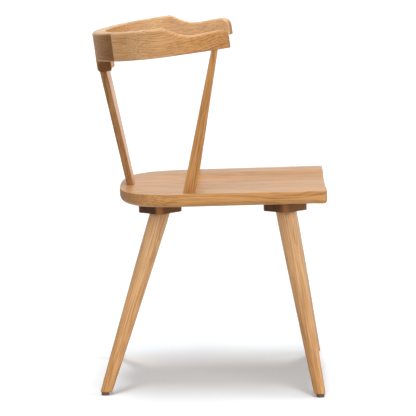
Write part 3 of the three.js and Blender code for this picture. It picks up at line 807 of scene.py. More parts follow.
def seat_blank():
    """The whole seat: a dished top, a soft arris, a wall and a deep under-rounding."""
    seat = sizes("chair_seat")
    plan = seat_outline()
    outward = [outward_at(plan, index) for index in range(len(plan))]
    # The under-rounding deepens over this much of the side, behind the front corner.
    deepens = seat.corner_radius, seat.corner_radius + 25 * MM
    under = [
        lerp(seat.front_under, seat.side_under, smooth_rise(point.y, *deepens)) for point in plan
    ]

    def ring_point(index, inset, height):
        return (plan[index] - outward[index] * inset).to_3d() + Vector((0, 0, height))

    def arris_point(index, turn):
        point = ring_point(index, seat.arris * (1 - math.sin(turn)), 0)
        point.z = dish_height(point.x, point.y) - seat.arris * (1 - math.cos(turn))
        return point

    def under_point(index, turn):
        radius = under[index]
        height = radius * (1 - math.sin(turn)) - seat.thickness
        return ring_point(index, radius * (1 - math.cos(turn)), height)

    rings = [(arris_point, step / ARRIS_STEPS) for step in range(1, ARRIS_STEPS + 1)]
    rings += [(under_point, step / UNDER_STEPS) for step in range(UNDER_STEPS + 1)]
    deselect()
    bpy.ops.mesh.primitive_circle_add(vertices=len(plan), radius=seat.depth / 2)
    blank = named("seat_blank")
    number_stations(blank)
    for vertex in blank.data.vertices:
        vertex.co = arris_point(vertex.index, 0)
    with editing(blank, "EDGE"):
        bpy.ops.mesh.select_all(action="SELECT")
        for point_at, share in rings:
            turn = math.pi / 2 * share
            extrude_ring(blank, lambda index, at=point_at, turn=turn: at(index, turn))
        fill_seat(blank, len(plan))
        bpy.ops.mesh.select_all(action="DESELECT")
        pick(blank, "edges", lambda edge: edge.is_boundary)
        fill_seat(blank, len(plan))
    hollow_top(blank)
    settle_normals(blank)
    return blank


def fill_seat(blank, count):
    """Fills the selected ring with a grid that starts from the right front corner."""
    span = 2 * FRONT_CELLS + CORNER_CELLS
    mesh = bmesh.from_edit_mesh(blank.data)
    station = mesh.verts.layers.int["station"]
    for vert in mesh.verts:
        if vert.select and vert[station] == count - span // 2:
            mesh.select_history.clear()
            mesh.select_history.add(vert)
    bpy.ops.mesh.fill_grid(span=span, offset=0, use_interp_simple=True)


def hollow_top(blank):
    """Sinks the top's grid into the dish."""
    for vertex in blank.data.vertices:
        if vertex.co.z > -sizes("chair_seat").thickness / 2:
            vertex.co.z = min(vertex.co.z, dish_height(vertex.co.x, vertex.co.y))


class CHAIR_OT_seat_boards(bpy.types.Operator):
    """Model the dished seat and rip it into its boards"""

    bl_idname = "chair.seat_boards"
    bl_label = "Seat Boards"

    def execute(self, context):
        seat = sizes("chair_seat")
        where = seat_frame()
        blank = seat_blank()
        pitch = seat.front_width / seat.boards
        for index in range(seat.boards):
            board = copy_of(blank, f"oak_seat_board_{index + 1}")
            left = (index - seat.boards / 2) * pitch
            if index > 0:
                cut(board, (left + GLUE_LINE / 2, 0, 0), (1, 0, 0), keep=1)
            if index < seat.boards - 1:
                cut(board, (left + pitch - GLUE_LINE / 2, 0, 0), (1, 0, 0))
            place(board, where)
            spot = Vector((left + pitch / 2, seat.depth / 2, 0))
            tone, from_heart = BOARD_WOOD[index % len(BOARD_WOOD)]
            finish_wood(
                board,
                "oak",
                f"seat_board_{index + 1}",
                where @ board_frame(spot, (0, 1, 0), UP),
                (0.7 * index, from_heart, 0.085 + 0.01 * index),
                tone=(tone, tone),
                end_share=(0.45, 0.45),
                # The sides stay darker than the top, so that the top's paleness is a painted
                # sheen only.
                edge_tone=-0.2,
            )
        remove(blank)
        return {"FINISHED"}


# ---------------------------------------------------------------- legs, blocks and glides

# Where each leg meets its block and where it stands, from the middle of the front edge.
LEG_TOPS = {"front": (156 * MM, 91 * MM), "rear": (122 * MM, 367.3 * MM)}
LEG_FEET = {"front": (269 * MM, 17.6 * MM), "rear": (227 * MM, 488.4 * MM)}
TAPER_STEPS = 18
TAPER_POWER = 1.25  # over 1 the legs stay thick for longer
LEG_HEARTS = (0.05, -0.045, 0.055, -0.05)  # how far each was sawn from its log's heart


def leg_frame(end, side):
    """From a leg's foot on the floor, with Z up the leg, and the leg's top."""
    seat, where = sizes("chair_seat"), seat_frame()
    (top_x, top_y), (foot_x, foot_y) = LEG_TOPS[end], LEG_FEET[end]
    underside = -seat.thickness - GLUE_LINE - seat.block_thickness
    top = where @ Vector((top_x * SIDES[side], top_y, underside))
    foot = Vector((foot_x * SIDES[side], where.translation.y + foot_y, 0))
    return axis_frame(foot, top), top


def block_frame(end, side):
    """From the middle of a block's upper face, turned with its corner outwards."""
    x, y = LEG_TOPS[end]
    height = -sizes("chair_seat").thickness - GLUE_LINE
    where = Matrix.Translation((x * SIDES[side], y, height))
    return seat_frame() @ where @ Matrix.Rotation(math.radians(45), 4, "Z")


class CHAIR_OT_legs(bpy.types.Operator):
    """Turn the four legs and saw them to their blocks and to the floor"""

    bl_idname = "chair.legs"
    bl_label = "Turned Legs"

    def execute(self, context):
        legs = sizes("chair_legs")
        up = seat_frame().col[2].xyz
        sole = legs.glide_height + GLUE_LINE
        foot_radius, top_radius = legs.foot_diameter / 2, legs.top_diameter / 2
        spare = top_radius  # turned past both ends and sawn off
        for number, (end, side) in enumerate(CORNERS):
            where, top = leg_frame(end, side)
            run = (top - where.translation).length
            profile = [(foot_radius, -spare)]
            for step in range(TAPER_STEPS + 1):
                share = 1 - step / TAPER_STEPS
                radius = top_radius - (top_radius - foot_radius) * share**TAPER_POWER
                profile.append((radius, (run - legs.straight) * (1 - share)))
            profile.append((top_radius, run + spare))
            leg = turned(f"turned_leg_{end}_{side}", profile, sides=64)
            place(leg, where)
            cut(leg, top - up * GLUE_LINE, up)
            cut(leg, (0, 0, sole), UP, keep=1)
            with editing(leg, "EDGE"):
                pick(leg, "edges", lambda edge: all(v.co.z < sole + 1e-5 for v in edge.verts))
                bpy.ops.mesh.bevel(offset=legs.foot_rounding, segments=5, profile=0.5)
            settle_normals(leg)
            finish_wood(
                leg,
                "oak",
                f"leg_{end}_{side}",
                board_frame(where.translation, where.col[2].xyz, where.col[0].xyz),
                (0.9 * number, LEG_HEARTS[number], 0.035 + 0.007 * number),
                # Painted light: the legs pale towards the seat, as the light falls off towards
                # the floor, and their paleness also stands in for a painted sheen.
                tone=(0.06, 0.62),  # painted light: paler towards the seat
                end_share=(0.6, 0.6),
            )
        return {"FINISHED"}


SCREW = {"from_centre": 27 * MM, "head": 8.5 * MM, "shank": 4.5 * MM, "head_height": 3.5 * MM}
SCREW_PLAY = 0.3 * MM  # between a screw and its countersunk hole
DRILL_PAST = 1 * MM  # how far the drill runs past both faces


def screw_places():
    """The two screws on one diagonal of a block."""
    reach = SCREW["from_centre"]
    return Vector((-reach, reach, 0)), Vector((reach, -reach, 0))


class CHAIR_OT_leg_blocks(bpy.types.Operator):
    """Cut one leg block with its countersinks and copy it to the four legs"""

    bl_idname = "chair.leg_blocks"
    bl_label = "Leg Blocks"

    def execute(self, context):
        seat = sizes("chair_seat")
        thickness = seat.block_thickness
        size = (seat.block_side, seat.block_side, thickness)
        master = upright_box("block_master", size, -thickness / 2)
        with editing(master, "EDGE"):
            pick(master, "edges", upright(thickness))
            bpy.ops.mesh.bevel(offset=seat.block_corner, segments=8)
            bpy.ops.mesh.select_all(action="DESELECT")
            pick(master, "faces", lambda face: abs(face.normal.z) > 0.9)
            bpy.ops.mesh.region_to_loop()
            bpy.ops.mesh.bevel(offset=seat.block_arris, segments=3)
        head, shank = SCREW["head"] / 2 + SCREW_PLAY, SCREW["shank"] / 2 + SCREW_PLAY
        rest = SCREW_PLAY - thickness
        profile = [(head, -thickness - DRILL_PAST), (head, rest)]
        profile += [(shank, rest + SCREW["head_height"]), (shank, DRILL_PAST)]
        for spot in screw_places():
            drill = turned("countersink", profile, sides=32)
            place(drill, Matrix.Translation(spot))
            carve(master, drill)
        settle_normals(master)
        for number, (end, side) in enumerate(CORNERS):
            block = copy_of(master, f"stained_block_{end}_{side}")
            where = block_frame(end, side)
            place(block, where)
            # The fibres run from the outer rear facet, which shows their dark ends;
            # that darker facet is also painted shade, as it is turned away from the stronger
            # front light.
            along = where.col[0 if side == "left" else 1].xyz
            finish_wood(
                block,
                "dark_wood",
                f"leg_block_{end}_{side}",
                board_frame(where.translation, along, where.col[2].xyz),
                (0.4 * number, 0.03, 0.05 + 0.02 * number),
                end_share={"front": (0.6, 0.6), "rear": (1, 1)}[end],
                # It marks the long-grain faces, for the painted highlight on the rounded corners.
                edge_tone=1,
            )
        remove(master)
        return {"FINISHED"}


# The thread starts at a depth from the face of the head and ends where the point starts.
THREAD = {"pitch": 1.8 * MM, "start": 5 * MM, "point": 4 * MM}
# Radii over the shank's: the neck under the head, between the threads, behind the point.
NECK_SHARE, ROOT_SHARE, POINT_SHARE = 0.8, 0.72, 0.7
SCREW_EDGE, SCREW_TIP = 0.3 * MM, 0.4 * MM  # bevel of the head, radius of the blunt tip
# The cross in the head: each arm's length and width at the face, and its depth.
RECESS_ARM, RECESS_WIDTH, RECESS_DEPTH = 4.6 * MM, 1.0 * MM, 1.6 * MM


class CHAIR_OT_block_screws(bpy.types.Operator):
    """Turn one countersunk screw with a cross recess and copy it into every block"""

    bl_idname = "chair.block_screws"
    bl_label = "Block Screws"

    def execute(self, context):
        head, shank = SCREW["head"] / 2, SCREW["shank"] / 2
        low = SCREW_PLAY - sizes("chair_seat").block_thickness
        packed_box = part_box("block_screw_front_left_1")
        reach = (packed_box[1] - packed_box[0]).z + low
        profile = [(head - SCREW_EDGE, low), (head, low + SCREW_EDGE)]
        profile.append((shank * NECK_SHARE, low + SCREW["head_height"]))
        height = low + THREAD["start"]
        while height < reach - THREAD["point"]:
            profile.append((shank * ROOT_SHARE, height))
            profile.append((shank, height + THREAD["pitch"] / 2))
            height += THREAD["pitch"]
        profile += [(shank * POINT_SHARE, height), (SCREW_TIP, reach - SCREW_EDGE)]
        master = turned("screw_master", profile, sides=24)
        for arm in ((RECESS_ARM, RECESS_WIDTH), (RECESS_WIDTH, RECESS_ARM)):
            size = (*arm, 2 * RECESS_DEPTH)
            carve(master, upright_box("recess", size, low, top=(0.5, 0.5)))
        settle_normals(master)
        for end, side in CORNERS:
            for index, spot in enumerate(screw_places(), start=1):
                screw = copy_of(master, f"countersunk_screw_{end}_{side}_{index}")
                place(screw, block_frame(end, side) @ Matrix.Translation(spot))
                smooth(screw)
                packed = f"block_screw_{end}_{side}_{index}"
                finish_piece(screw, "steel", packed)
        remove(master)
        return {"FINISHED"}


GLIDE_EDGE, GLIDE_RIM = 1.5 * MM, 0.5 * MM  # its roundings, below and above
GLIDE_RECESS = {"radius": 2.8 * MM, "depth": 1.5 * MM, "draft": 0.98}


class CHAIR_OT_foot_glides(bpy.types.Operator):
    """Turn one nail-on glide with its nail's recess and copy it under every leg"""

    bl_idname = "chair.foot_glides"
    bl_label = "Foot Glides"

    def execute(self, context):
        legs = sizes("chair_legs")
        radius, height = legs.glide_diameter / 2, legs.glide_height
        recess = GLIDE_RECESS["radius"]
        profile = [(recess * GLIDE_RECESS["draft"], GLIDE_RECESS["depth"]), (recess, 0)]
        profile += arc(radius - GLIDE_EDGE, GLIDE_EDGE, GLIDE_EDGE, -1, 0, steps=4)
        profile += arc(radius - GLIDE_RIM, height - GLIDE_RIM, GLIDE_RIM, 0, 1, steps=3)
        master = turned("glide_master", profile, sides=48)
        for end, side in CORNERS:
            glide = copy_of(master, f"nylon_glide_{end}_{side}")
            place(glide, Matrix.Translation(leg_frame(end, side)[0].translation))
            smooth(glide)
            finish_piece(glide, "glide_plastic", f"foot_glide_{end}_{side}")
        remove(master)
        return {"FINISHED"}


# ---------------------------------------------------------------- crest rail

CREST_POWER = 2 / 1.85  # of the back curve: 1 is an ellipse, less is squarer
ARM_BOW = 448 * MM  # the arms close in a little towards their ends
ARM_END = 20 * MM  # radius of the top of their ends
ARM_TIP_RISE = 3.3 * MM
DROP = {"start": 4 * MM, "length": 66 * MM, "ease": 0.62}  # from the back down to the arms
THINNING = (60 * MM, 220 * MM)  # from the middle, where the back thins to the arms
LOBE = {"overhang": 1 * MM, "corner": 7 * MM, "fillet": 16 * MM, "steps": 8}
JOINTS = {"shoulder": 0.5, "arm": 0.663}  # shares of the back's quarter turn


def outer_point(share):
    """The crest's outer face: 0 is the middle of the back, 1 beside the pivot, then the arm."""
    back = sizes("chair_back")
    if share > 1:
        forward = (share - 1) * back.arm_reach
        inward = ARM_BOW - math.sqrt(ARM_BOW**2 - forward**2)
        return Vector((back.half_width - inward, -forward))
    turn = math.pi / 2 * share
    across, along = math.sin(turn) ** CREST_POWER, max(math.cos(turn), 0) ** CREST_POWER
    return Vector((back.half_width * across, back.rear_reach * along))


def along_crest(share):
    """The direction towards the arm's end along the outer face."""
    nudge = 0.002
    before, after = outer_point(max(share - nudge, 0)), outer_point(min(share + nudge, 2))
    return (after - before).normalized()


def inner_point(share):
    """The crest's inner face, straight in from the outer one."""
    back = sizes("chair_back")
    point, along = outer_point(share), along_crest(share)
    thinning = smooth_rise(point.x, *THINNING)
    inward = Vector((along.y, -along.x))
    return point + inward * lerp(back.back_thickness, back.thickness, thinning)


def share_at(point_of, x):
    """The share at which a face of the back reaches a distance from the middle."""
    low, high = 0.0, 0.9
    for _ in range(40):  # halvings, to far below a micrometre
        guess = (low + high) / 2
        low, high = (guess, high) if point_of(guess).x < x else (low, guess)
    return low


def rail_height(y):
    """Height of the rail's top over its underside."""
    back = sizes("chair_back")
    share = min(max((-y - DROP["start"]) / DROP["length"], 0), 1)
    drop = smooth_rise(share ** DROP["ease"], 0, 1) * (back.back_height - back.arm_height)
    rise_start = DROP["start"] + DROP["length"]
    rise_share = (-y - rise_start) / (back.arm_reach - ARM_END - rise_start)
    return back.back_height - drop + ARM_TIP_RISE * min(max(rise_share, 0), 1)


# The rail's stations: how many lie inside the lobe and along an arm, and what they leave free
# on each side of the lobe's flank and before the rounding of the arm's end.
LOBE_STATIONS, ARM_STATIONS = 7, 26
LOBE_CLEAR, END_CLEAR = 4 * MM, 1.5 * MM
# Shares of the back: their spacing, where they end, and where they turn square to the rail.
BACK_SPACING, BACK_END, BACK_TURN = 0.018, 0.985, (0.3, 0.45)


def lobe_flank():
    """The distance of the lobe's side from the middle."""
    return sizes("chair_back").splat_top / 2 + LOBE["overhang"]


def rail_stations():
    """Pairs of shares, for the outer and the inner face, from the middle to the arm's end.

    Near the lobe both points lie at one distance from the middle, because its sides are cut
    square; further out they lie straight across the rail. None lies within a rounding.
    """
    reach = sizes("chair_back").arm_reach
    flank = lobe_flank()
    distances = [
        (flank - LOBE_CLEAR) * step / LOBE_STATIONS for step in range(LOBE_STATIONS + 1)
    ]
    distances += [flank + LOBE_CLEAR, flank + 3 * LOBE_CLEAR]
    pairs = [(share_at(outer_point, x), share_at(inner_point, x)) for x in distances]
    outer_share, inner_share = pairs[-1]
    gap = inner_share - outer_share
    while outer_share < BACK_END:
        outer_share += BACK_SPACING
        fade = 1 - smooth_rise(outer_share, *BACK_TURN)
        pairs.append((outer_share, outer_share + gap * fade))
    last = (reach - ARM_END - END_CLEAR) / reach
    pairs += [(1 + last * index / ARM_STATIONS,) * 2 for index in range(ARM_STATIONS + 1)]
    return [*pairs, (2, 2)]


def rail_section(pair, sign):
    """The section's corners on one side: outer low, outer high, inner low, inner high."""
    low = -sizes("chair_back").lobe_depth
    return [
        Vector((point.x * sign, point.y, height))
        for point in (outer_point(pair[0]), inner_point(pair[1]))
        for height in (low, rail_height(point.y))
    ]


def rail_blank():
    """The whole rail: one section swept from the right arm's end to the left one's."""
    half = rail_stations()
    sections = [rail_section(pair, -1) for pair in reversed(half)]
    sections += [rail_section(pair, 1) for pair in half[1:]]
    deselect()
    # A plane's vertices run low left, low right, high left, high right.
    bpy.ops.mesh.primitive_plane_add(size=sizes("chair_back").thickness)
    rail = named("rail_blank")
    number_stations(rail)
    for vertex in rail.data.vertices:
        vertex.co = sections[0][vertex.index]
    with editing(rail, "FACE"):
        bpy.ops.mesh.select_all(action="SELECT")
        for section in sections[1:]:
            extrude_ring(rail, lambda corner, section=section: section[corner])
    settle_normals(rail)
    round_arm_ends(rail)
    for sign in SIDES.values():
        carve(rail, under_rail(sign))
    settle_normals(rail)
    soften_rail(rail)
    return rail


def round_arm_ends(rail):
    """Rounds the top of each arm's end, seen from the side."""

    def at_top_of_end(edge):
        return all(vert.co.z > 0 and len(vert.link_edges) == 3 for vert in edge.verts)

    with editing(rail, "EDGE"):
        pick(rail, "edges", at_top_of_end)
        bpy.ops.mesh.bevel(offset=ARM_END, segments=9)


def under_rail(sign):
    """The room under the rail beside the lobe, on one side, to be cut away."""
    back = sizes("chair_back")
    flank, low = lobe_flank(), -back.lobe_depth
    fillet, corner, steps = LOBE["fillet"], LOBE["corner"], LOBE["steps"]
    reach = 2 * back.half_width
    outline = [
        (reach, 0),
        *arc(flank + fillet, -fillet, fillet, 1, 2, steps),
        *arc(flank - corner, low + corner, corner, 0, -1, steps),
        (flank - corner, low - corner),
        (reach, low - corner),
    ]
    deselect()
    bpy.ops.mesh.primitive_circle_add(vertices=len(outline), fill_type="NGON")
    room = named("under_rail")
    for vertex, (x, z) in zip(room.data.vertices, outline):
        vertex.co = (x * sign, -reach, z)
    with editing(room, "FACE"):
        bpy.ops.mesh.select_all(action="SELECT")
        bpy.ops.mesh.extrude_region_move(TRANSFORM_OT_translate={"value": (0, 2 * reach, 0)})
    settle_normals(room)
    return room


SHARP = math.radians(40)  # an edge that turns by more than this is rounded
# How far the rail's edges are rounded, outside and inside.
RAIL_ARRISES = {
    "top": (5.5 * MM, 4 * MM),
    "low": (4 * MM, 2.5 * MM),
    "lobe": (6.5 * MM, 2.5 * MM),
}


def soften_rail(rail):
    """Rounds the rail's long edges and the edges of the arms' ends."""
    outer, inner = (
        [point_at(step / 100) for step in range(201)] for point_at in (outer_point, inner_point)
    )

    def nearest(line, spot):
        return min((point - spot).length for point in line)

    widest = RAIL_ARRISES["lobe"][0]
    mesh = bmesh.new()
    mesh.from_mesh(rail.data)
    weight = mesh.edges.layers.float.new("bevel_weight_edge")
    for edge in mesh.edges:
        if edge.calc_face_angle(0) < SHARP:
            continue
        spot = middle(edge)
        level = "top"
        # The underside lies at 0, and the lobe hangs below it.
        if all(vert.co.z < 1 * MM for vert in edge.verts):
            level = "lobe" if spot.z < -3 * MM else "low"
        spot = Vector((abs(spot.x), spot.y))
        is_outer = nearest(outer, spot) < nearest(inner, spot)
        edge[weight] = RAIL_ARRISES[level][0 if is_outer else 1] / widest
    mesh.to_mesh(rail.data)
    mesh.free()
    modify(
        rail,
        "BEVEL",
        width=widest,
        segments=4,
        limit_method="WEIGHT",
        use_clamp_overlap=False,
    )
    settle_normals(rail)


def joint_plane(share, sign):
    """A glued joint's middle and its direction along the rail, on one side."""
    along = along_crest(share)
    point = (outer_point(share) + inner_point(share)) / 2
    return Vector((point.x * sign, point.y, 0)), Vector((along.x * sign, along.y, 0))


def cut_at_joint(piece, joint, sign, keep):
    """Saws a rail piece at a glued joint, leaving half the glue line off."""
    point, along = joint_plane(JOINTS[joint], sign)
    cut(piece, point + along * keep * GLUE_LINE / 2, along, keep)


class CHAIR_OT_crest_rail(bpy.types.Operator):
    """Shape the crest rail and saw it into the five pieces it is glued from"""

    bl_idname = "chair.crest_rail"
    bl_label = "Crest Rail"

    def execute(self, context):
        back = sizes("chair_back")
        where = crest_frame()
        blank = rail_blank()
        mid_height = Vector((0, 0, back.back_height / 2))

        def finish(piece, packed, board, in_log, **grain):
            place(piece, where)
            finish_wood(piece, "oak", packed, where @ board, in_log, **grain)

        centre = copy_of(blank, "oak_crest_centre")
        for sign in SIDES.values():
            cut_at_joint(centre, "shoulder", sign, keep=-1)
        finish(
            centre,
            "crest_centre",
            board_frame(Vector((0, back.rear_reach, 0)) + mid_height, (1, 0, 0), (0, 1, 0)),
            (3.1, 0.14, 0.03),
            tone=(-0.78, 0.22),
            end_share=(1, 0.4),
            # Its top is painted paler than the dark board: a painted sheen.
            edge_tone=0.9,
        )
        for number, (side, sign) in enumerate(SIDES.items()):
            shoulder = copy_of(blank, f"oak_crest_shoulder_{side}")
            cut(shoulder, (0, 0, 0), (sign, 0, 0), keep=1)
            cut_at_joint(shoulder, "shoulder", sign, keep=1)
            cut_at_joint(shoulder, "arm", sign, keep=-1)
            point, along = joint_plane((JOINTS["shoulder"] + JOINTS["arm"]) / 2, sign)
            finish(
                shoulder,
                f"crest_shoulder_{side}",
                board_frame(point + mid_height, along, along.cross(UP)),
                (4.2 + number, 0.13, 0.02),
                # The shoulders' tones are partly their boards' own and partly painted light;
                # their tops are painted paler as a painted sheen.
                tone={"left": (0.35, 0.3), "right": (0.04, 0.1)}[side],
                end_share=(0.2, 0.2),
                edge_tone=0.3,
            )

            arm = copy_of(blank, f"oak_crest_arm_{side}")
            cut(arm, (0, 0, 0), (sign, 0, 0), keep=1)
            cut_at_joint(arm, "arm", sign, keep=1)
            start, _ = joint_plane(JOINTS["arm"], sign)
            tip = outer_point(2)
            along = Vector((tip.x * sign, tip.y, 0)) - start
            finish(
                arm,
                f"crest_arm_{side}",
                board_frame(start + mid_height, along, along.cross(UP)),
                (5.3 + number, 0.12, 0.02),
                # Painted light and shade: the left arm is paler partly as painted light on its
                # inner face, the right arm darkens from its joint to its end as painted shade,
                # and the tops of both are painted paler as a painted sheen.
                tone={"left": (0.65, 0.72), "right": (0.55, -0.3)}[side],
                end_share=(0.5, 0.5),
                edge_tone=0.3,
            )
        remove(blank)
        return {"FINISHED"}


# ---------------------------------------------------------------- splat and posts

# The middles of their thicknesses: from the seat's rear edge, behind the lobe's inner face,
# from the seat's side and front, and in front of the crest's pivot.
SPLAT_FOOT_FROM_REAR, SPLAT_TOP_INSET = 23.4 * MM, 13.6 * MM
POST_FROM_SIDE, POST_FROM_FRONT, POST_TOP_FORWARD = 38 * MM, 298.9 * MM, 107.7 * MM
POST_THICKNESS = {"foot": 18 * MM, "top": 12 * MM}
POST_CORNER_SHARE = 0.22  # corner radius over the section's width
SPLAT_ARRIS = 1.8 * MM


def bar_between(name, foot, top, foot_size, top_size, spare, **rounding):
    """A bar from a spot on the seat to one under the crest, sawn to both, and its frame.

    It changes evenly from one section to the other. spare is how far it first runs past them.
    """
    where = axis_frame(foot, top)
    run = (top - foot).length

    def size_at(height):
        return [lerp(low, high, height / run) for low, high in zip(foot_size, top_size)]

    (width, depth), (top_width, top_depth) = size_at(-spare), size_at(run + spare)
    size = (width, depth, run + 2 * spare)
    bar = upright_box(name, size, run / 2, top=(top_width / width, top_depth / depth))
    with editing(bar, "EDGE"):
        pick(bar, "edges", upright(run))
        bpy.ops.mesh.bevel(**rounding)
    place(bar, where)
    seat_up, crest_up = seat_frame().col[2].xyz, crest_frame().col[2].xyz
    cut(bar, foot + seat_up * GLUE_LINE, seat_up, keep=1)
    cut(bar, top - crest_up * GLUE_LINE, crest_up)
    settle_normals(bar)
    return bar, where


class CHAIR_OT_back_splat(bpy.types.Operator):
    """Shape the splat that leans back from the seat to the crest"""

    bl_idname = "chair.back_splat"
    bl_label = "Back Splat"

    def execute(self, context):
        seat, back = sizes("chair_seat"), sizes("chair_back")
        foot = seat_frame() @ Vector((0, seat.depth - SPLAT_FOOT_FROM_REAR, 0))
        behind = back.rear_reach - back.back_thickness + SPLAT_TOP_INSET
        splat, where = bar_between(
            "oak_back_splat",
            foot,
            crest_frame() @ Vector((0, behind, -back.lobe_depth)),
            (back.splat_foot, back.splat_thickness),
            (back.splat_top, back.splat_thickness),
            spare=back.splat_thickness,
            offset=SPLAT_ARRIS,
            segments=4,
        )
        finish_wood(
            splat,
            "oak",
            "back_splat",
            board_frame(foot, where.col[2].xyz, where.col[1].xyz),
            (6.6, 0.03, 0.07),
            tone=(0.15, 0.15),
            end_share=(0.5, 0.5),
            edge_tone=-1.0,
        )
        return {"FINISHED"}


class CHAIR_OT_arm_posts(bpy.types.Operator):
    """Shape the two tapered posts between the seat's rim and the arms"""

    bl_idname = "chair.arm_posts"
    bl_label = "Arm Posts"

    def execute(self, context):
        seat, back = sizes("chair_seat"), sizes("chair_back")
        foot_x = seat.front_width / 2 - POST_FROM_SIDE
        arm = outer_point(1 + POST_TOP_FORWARD / back.arm_reach)
        for number, (side, sign) in enumerate(SIDES.items()):
            foot = seat_frame() @ Vector((foot_x * sign, POST_FROM_FRONT, 0))
            post, where = bar_between(
                f"oak_arm_post_{side}",
                foot,
                crest_frame() @ Vector(((arm.x - back.thickness / 2) * sign, arm.y, 0)),
                (POST_THICKNESS["foot"], back.post_foot),
                (POST_THICKNESS["top"], back.post_top),
                spare=back.post_foot / 2,
                offset_type="PERCENT",
                offset_pct=100 * POST_CORNER_SHARE,
                segments=5,
            )
            finish_wood(
                post,
                "oak",
                f"arm_post_{side}",
                board_frame(foot, where.col[2].xyz, where.col[0].xyz),
                (7.7 + number, 0.045, 0.03),
                tone=(-0.06, -0.06),
                end_share=(0.5, 0.5),
            )
        return {"FINISHED"}


# ---------------------------------------------------------------- packed hardware kept as it is

HARDWARE = {
    "hanger_bolt": "zinc_plated_steel",
    "threaded_sleeve": "zinc_plated_steel",
    "glide_nail": "zinc_plated_steel",
    "crest_dowel": "raw_beech",
}


class CHAIR_OT_hidden_hardware(bpy.types.Operator):
    """Give the bolts, sleeves, nails and dowels inside the joints their finishes"""

    bl_idname = "chair.hidden_hardware"
    bl_label = "Hidden Hardware"

    def execute(self, context):
        for name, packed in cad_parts.items():
            for start, finish in HARDWARE.items():
                if name.startswith(start):
                    packed.data.materials.clear()
                    packed.data.materials.append(material(finish))
        return {"FINISHED"}


# ---------------------------------------------------------------- studio

FLOOR_RADIUS = 40
ROOM_STRENGTH = 0.03
# The large soft lamps round the chair, which light everything alike: where each one's light
# travels towards, and its strength.
SOFT_LAMPS = {
    "camera_side_lamp": ((1.0, 0.0, -0.12), 1.6),
    "camera_rear_lamp": ((1.0, -0.9, -0.3), 0.25),
    "front_lamp": ((0.2, 1.0, -0.12), 2.26),
    "high_camera_side_lamp": ((1.0, 0.0, -1.0), 0.68),
    "high_rear_lamp": ((0.2, -1.0, -1.0), 0.35),
}
SOFT_LAMP_ANGLE = 60
# A softbox overhead, long across the chair and narrow fore and aft, and so far up that it
# lights the whole floor alike. Its spreads are half angles in degrees.
SOFTBOX_HEIGHT, SOFTBOX_FORWARD, SOFTBOX_ENERGY = 100, 2, 57500
SOFTBOX_SPREAD = {"across": 21, "fore_and_aft": 3}
# Straight at the chair's right side, a little from above.
CAMERA_PLACE = (-6.1874, -0.122, 1.149)
CAMERA_TURN, CAMERA_DIP = 1.169, 7.053  # degrees to the front and down
CAMERA_ROLL = -0.012  # radians
CAMERA_LENS, CAMERA_SENSOR, CAMERA_REACH = 239.1, 36, 200  # mm, mm, m


def white_world():
    """A pale grey room for the light, and plain white wherever it is seen or reflected."""
    world = bpy.data.worlds.new("studio_room")
    world.use_nodes = True
    tree = world.node_tree
    tree.nodes.clear()
    strength = {"Value": seen_directly(tree), "To Min": ROOM_STRENGTH, "To Max": 1.0}
    room = {"Color": (1, 1, 1, 1), "Strength": node(tree, "MapRange", strength)}
    node(tree, "OutputWorld", {"Surface": node(tree, "Background", room)})
    bpy.context.scene.world = world


def lamp(name, kind, energy, **where):
    """A new lamp."""
    deselect()
    bpy.ops.object.light_add(type=kind, **where)
    made = bpy.context.active_object
    made.name = name
    made.data.energy = energy
    return made


def hang_lamps():
    """Hangs the softbox and the lamps round the chair."""
    above = (0, -SOFTBOX_FORWARD, SOFTBOX_HEIGHT)
    box = lamp("long_softbox", "AREA", SOFTBOX_ENERGY, location=above)
    box.data.shape = "RECTANGLE"
    box.data.size, box.data.size_y = (
        2 * SOFTBOX_HEIGHT * math.tan(math.radians(SOFTBOX_SPREAD[way]))
        for way in ("across", "fore_and_aft")
    )
    for name, (towards, strength) in SOFT_LAMPS.items():
        soft = lamp(name, "SUN", strength)
        soft.data.angle = math.radians(SOFT_LAMP_ANGLE)
        soft.rotation_euler = Vector(towards).to_track_quat("-Z", "Y").to_euler()


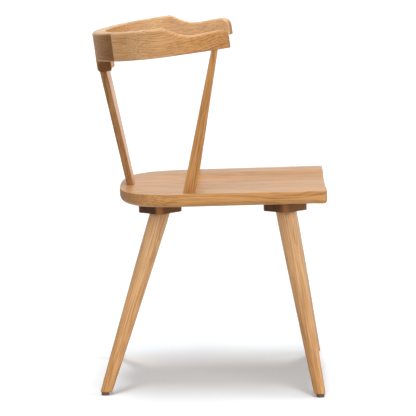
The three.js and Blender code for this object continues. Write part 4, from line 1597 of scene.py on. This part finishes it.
class CHAIR_OT_studio(bpy.types.Operator):
    """Lay the floor, hang the lamps and set up the camera"""

    bl_idname = "chair.studio"
    bl_label = "Studio"

    def execute(self, context):
        deselect()
        bpy.ops.mesh.primitive_circle_add(vertices=96, radius=FLOOR_RADIUS, fill_type="NGON")
        floor = named("studio_floor")
        floor.data.materials.append(material("matt_white_paper"))
        white_world()
        hang_lamps()
        context.scene.view_settings.view_transform = "Standard"

        deselect()
        bpy.ops.object.camera_add()
        camera = bpy.context.active_object
        camera.name = "side_camera"
        camera.data.sensor_width = CAMERA_SENSOR
        camera.data.lens = CAMERA_LENS
        camera.data.clip_end = CAMERA_REACH
        camera.matrix_world = (
            Matrix.Translation(CAMERA_PLACE)
            @ Matrix.Rotation(math.radians(-90 + CAMERA_TURN), 4, "Z")
            @ Matrix.Rotation(math.radians(90 - CAMERA_DIP), 4, "X")
            @ Matrix.Rotation(CAMERA_ROLL, 4, "Z")
        )
        context.scene.camera = camera
        return {"FINISHED"}


# ---------------------------------------------------------------- add-on

STEPS = (
    CHAIR_OT_seat_boards,
    CHAIR_OT_legs,
    CHAIR_OT_leg_blocks,
    CHAIR_OT_block_screws,
    CHAIR_OT_foot_glides,
    CHAIR_OT_crest_rail,
    CHAIR_OT_back_splat,
    CHAIR_OT_arm_posts,
    CHAIR_OT_hidden_hardware,
    CHAIR_OT_studio,
)


class CHAIR_PT_pieces(bpy.types.Panel):
    """The chair's pieces, sizes and finishes"""

    bl_idname = "CHAIR_PT_pieces"
    bl_label = "Oak Dining Chair"
    bl_space_type = "VIEW_3D"
    bl_region_type = "UI"
    bl_category = "Chair"

    def draw(self, context):
        for step in STEPS:
            self.layout.operator(step.bl_idname)
        for group, kind in GROUPS.items():
            box = self.layout.box()
            for name in kind.__annotations__:
                box.prop(getattr(context.scene, group), name)


CLASSES = (*GROUPS.values(), *STEPS, CHAIR_PT_pieces)


def register():
    for kind in CLASSES:
        bpy.utils.register_class(kind)
    for group, kind in GROUPS.items():
        setattr(bpy.types.Scene, group, PointerProperty(type=kind))


def unregister():
    for group in GROUPS:
        delattr(bpy.types.Scene, group)
    for kind in reversed(CLASSES):
        bpy.utils.unregister_class(kind)


def main():
    """Builds every piece and the studio."""
    register()
    for step in STEPS:
        group, name = step.bl_idname.split(".")
        getattr(getattr(bpy.ops, group), name)()


if __name__ == "__main__":
    main()
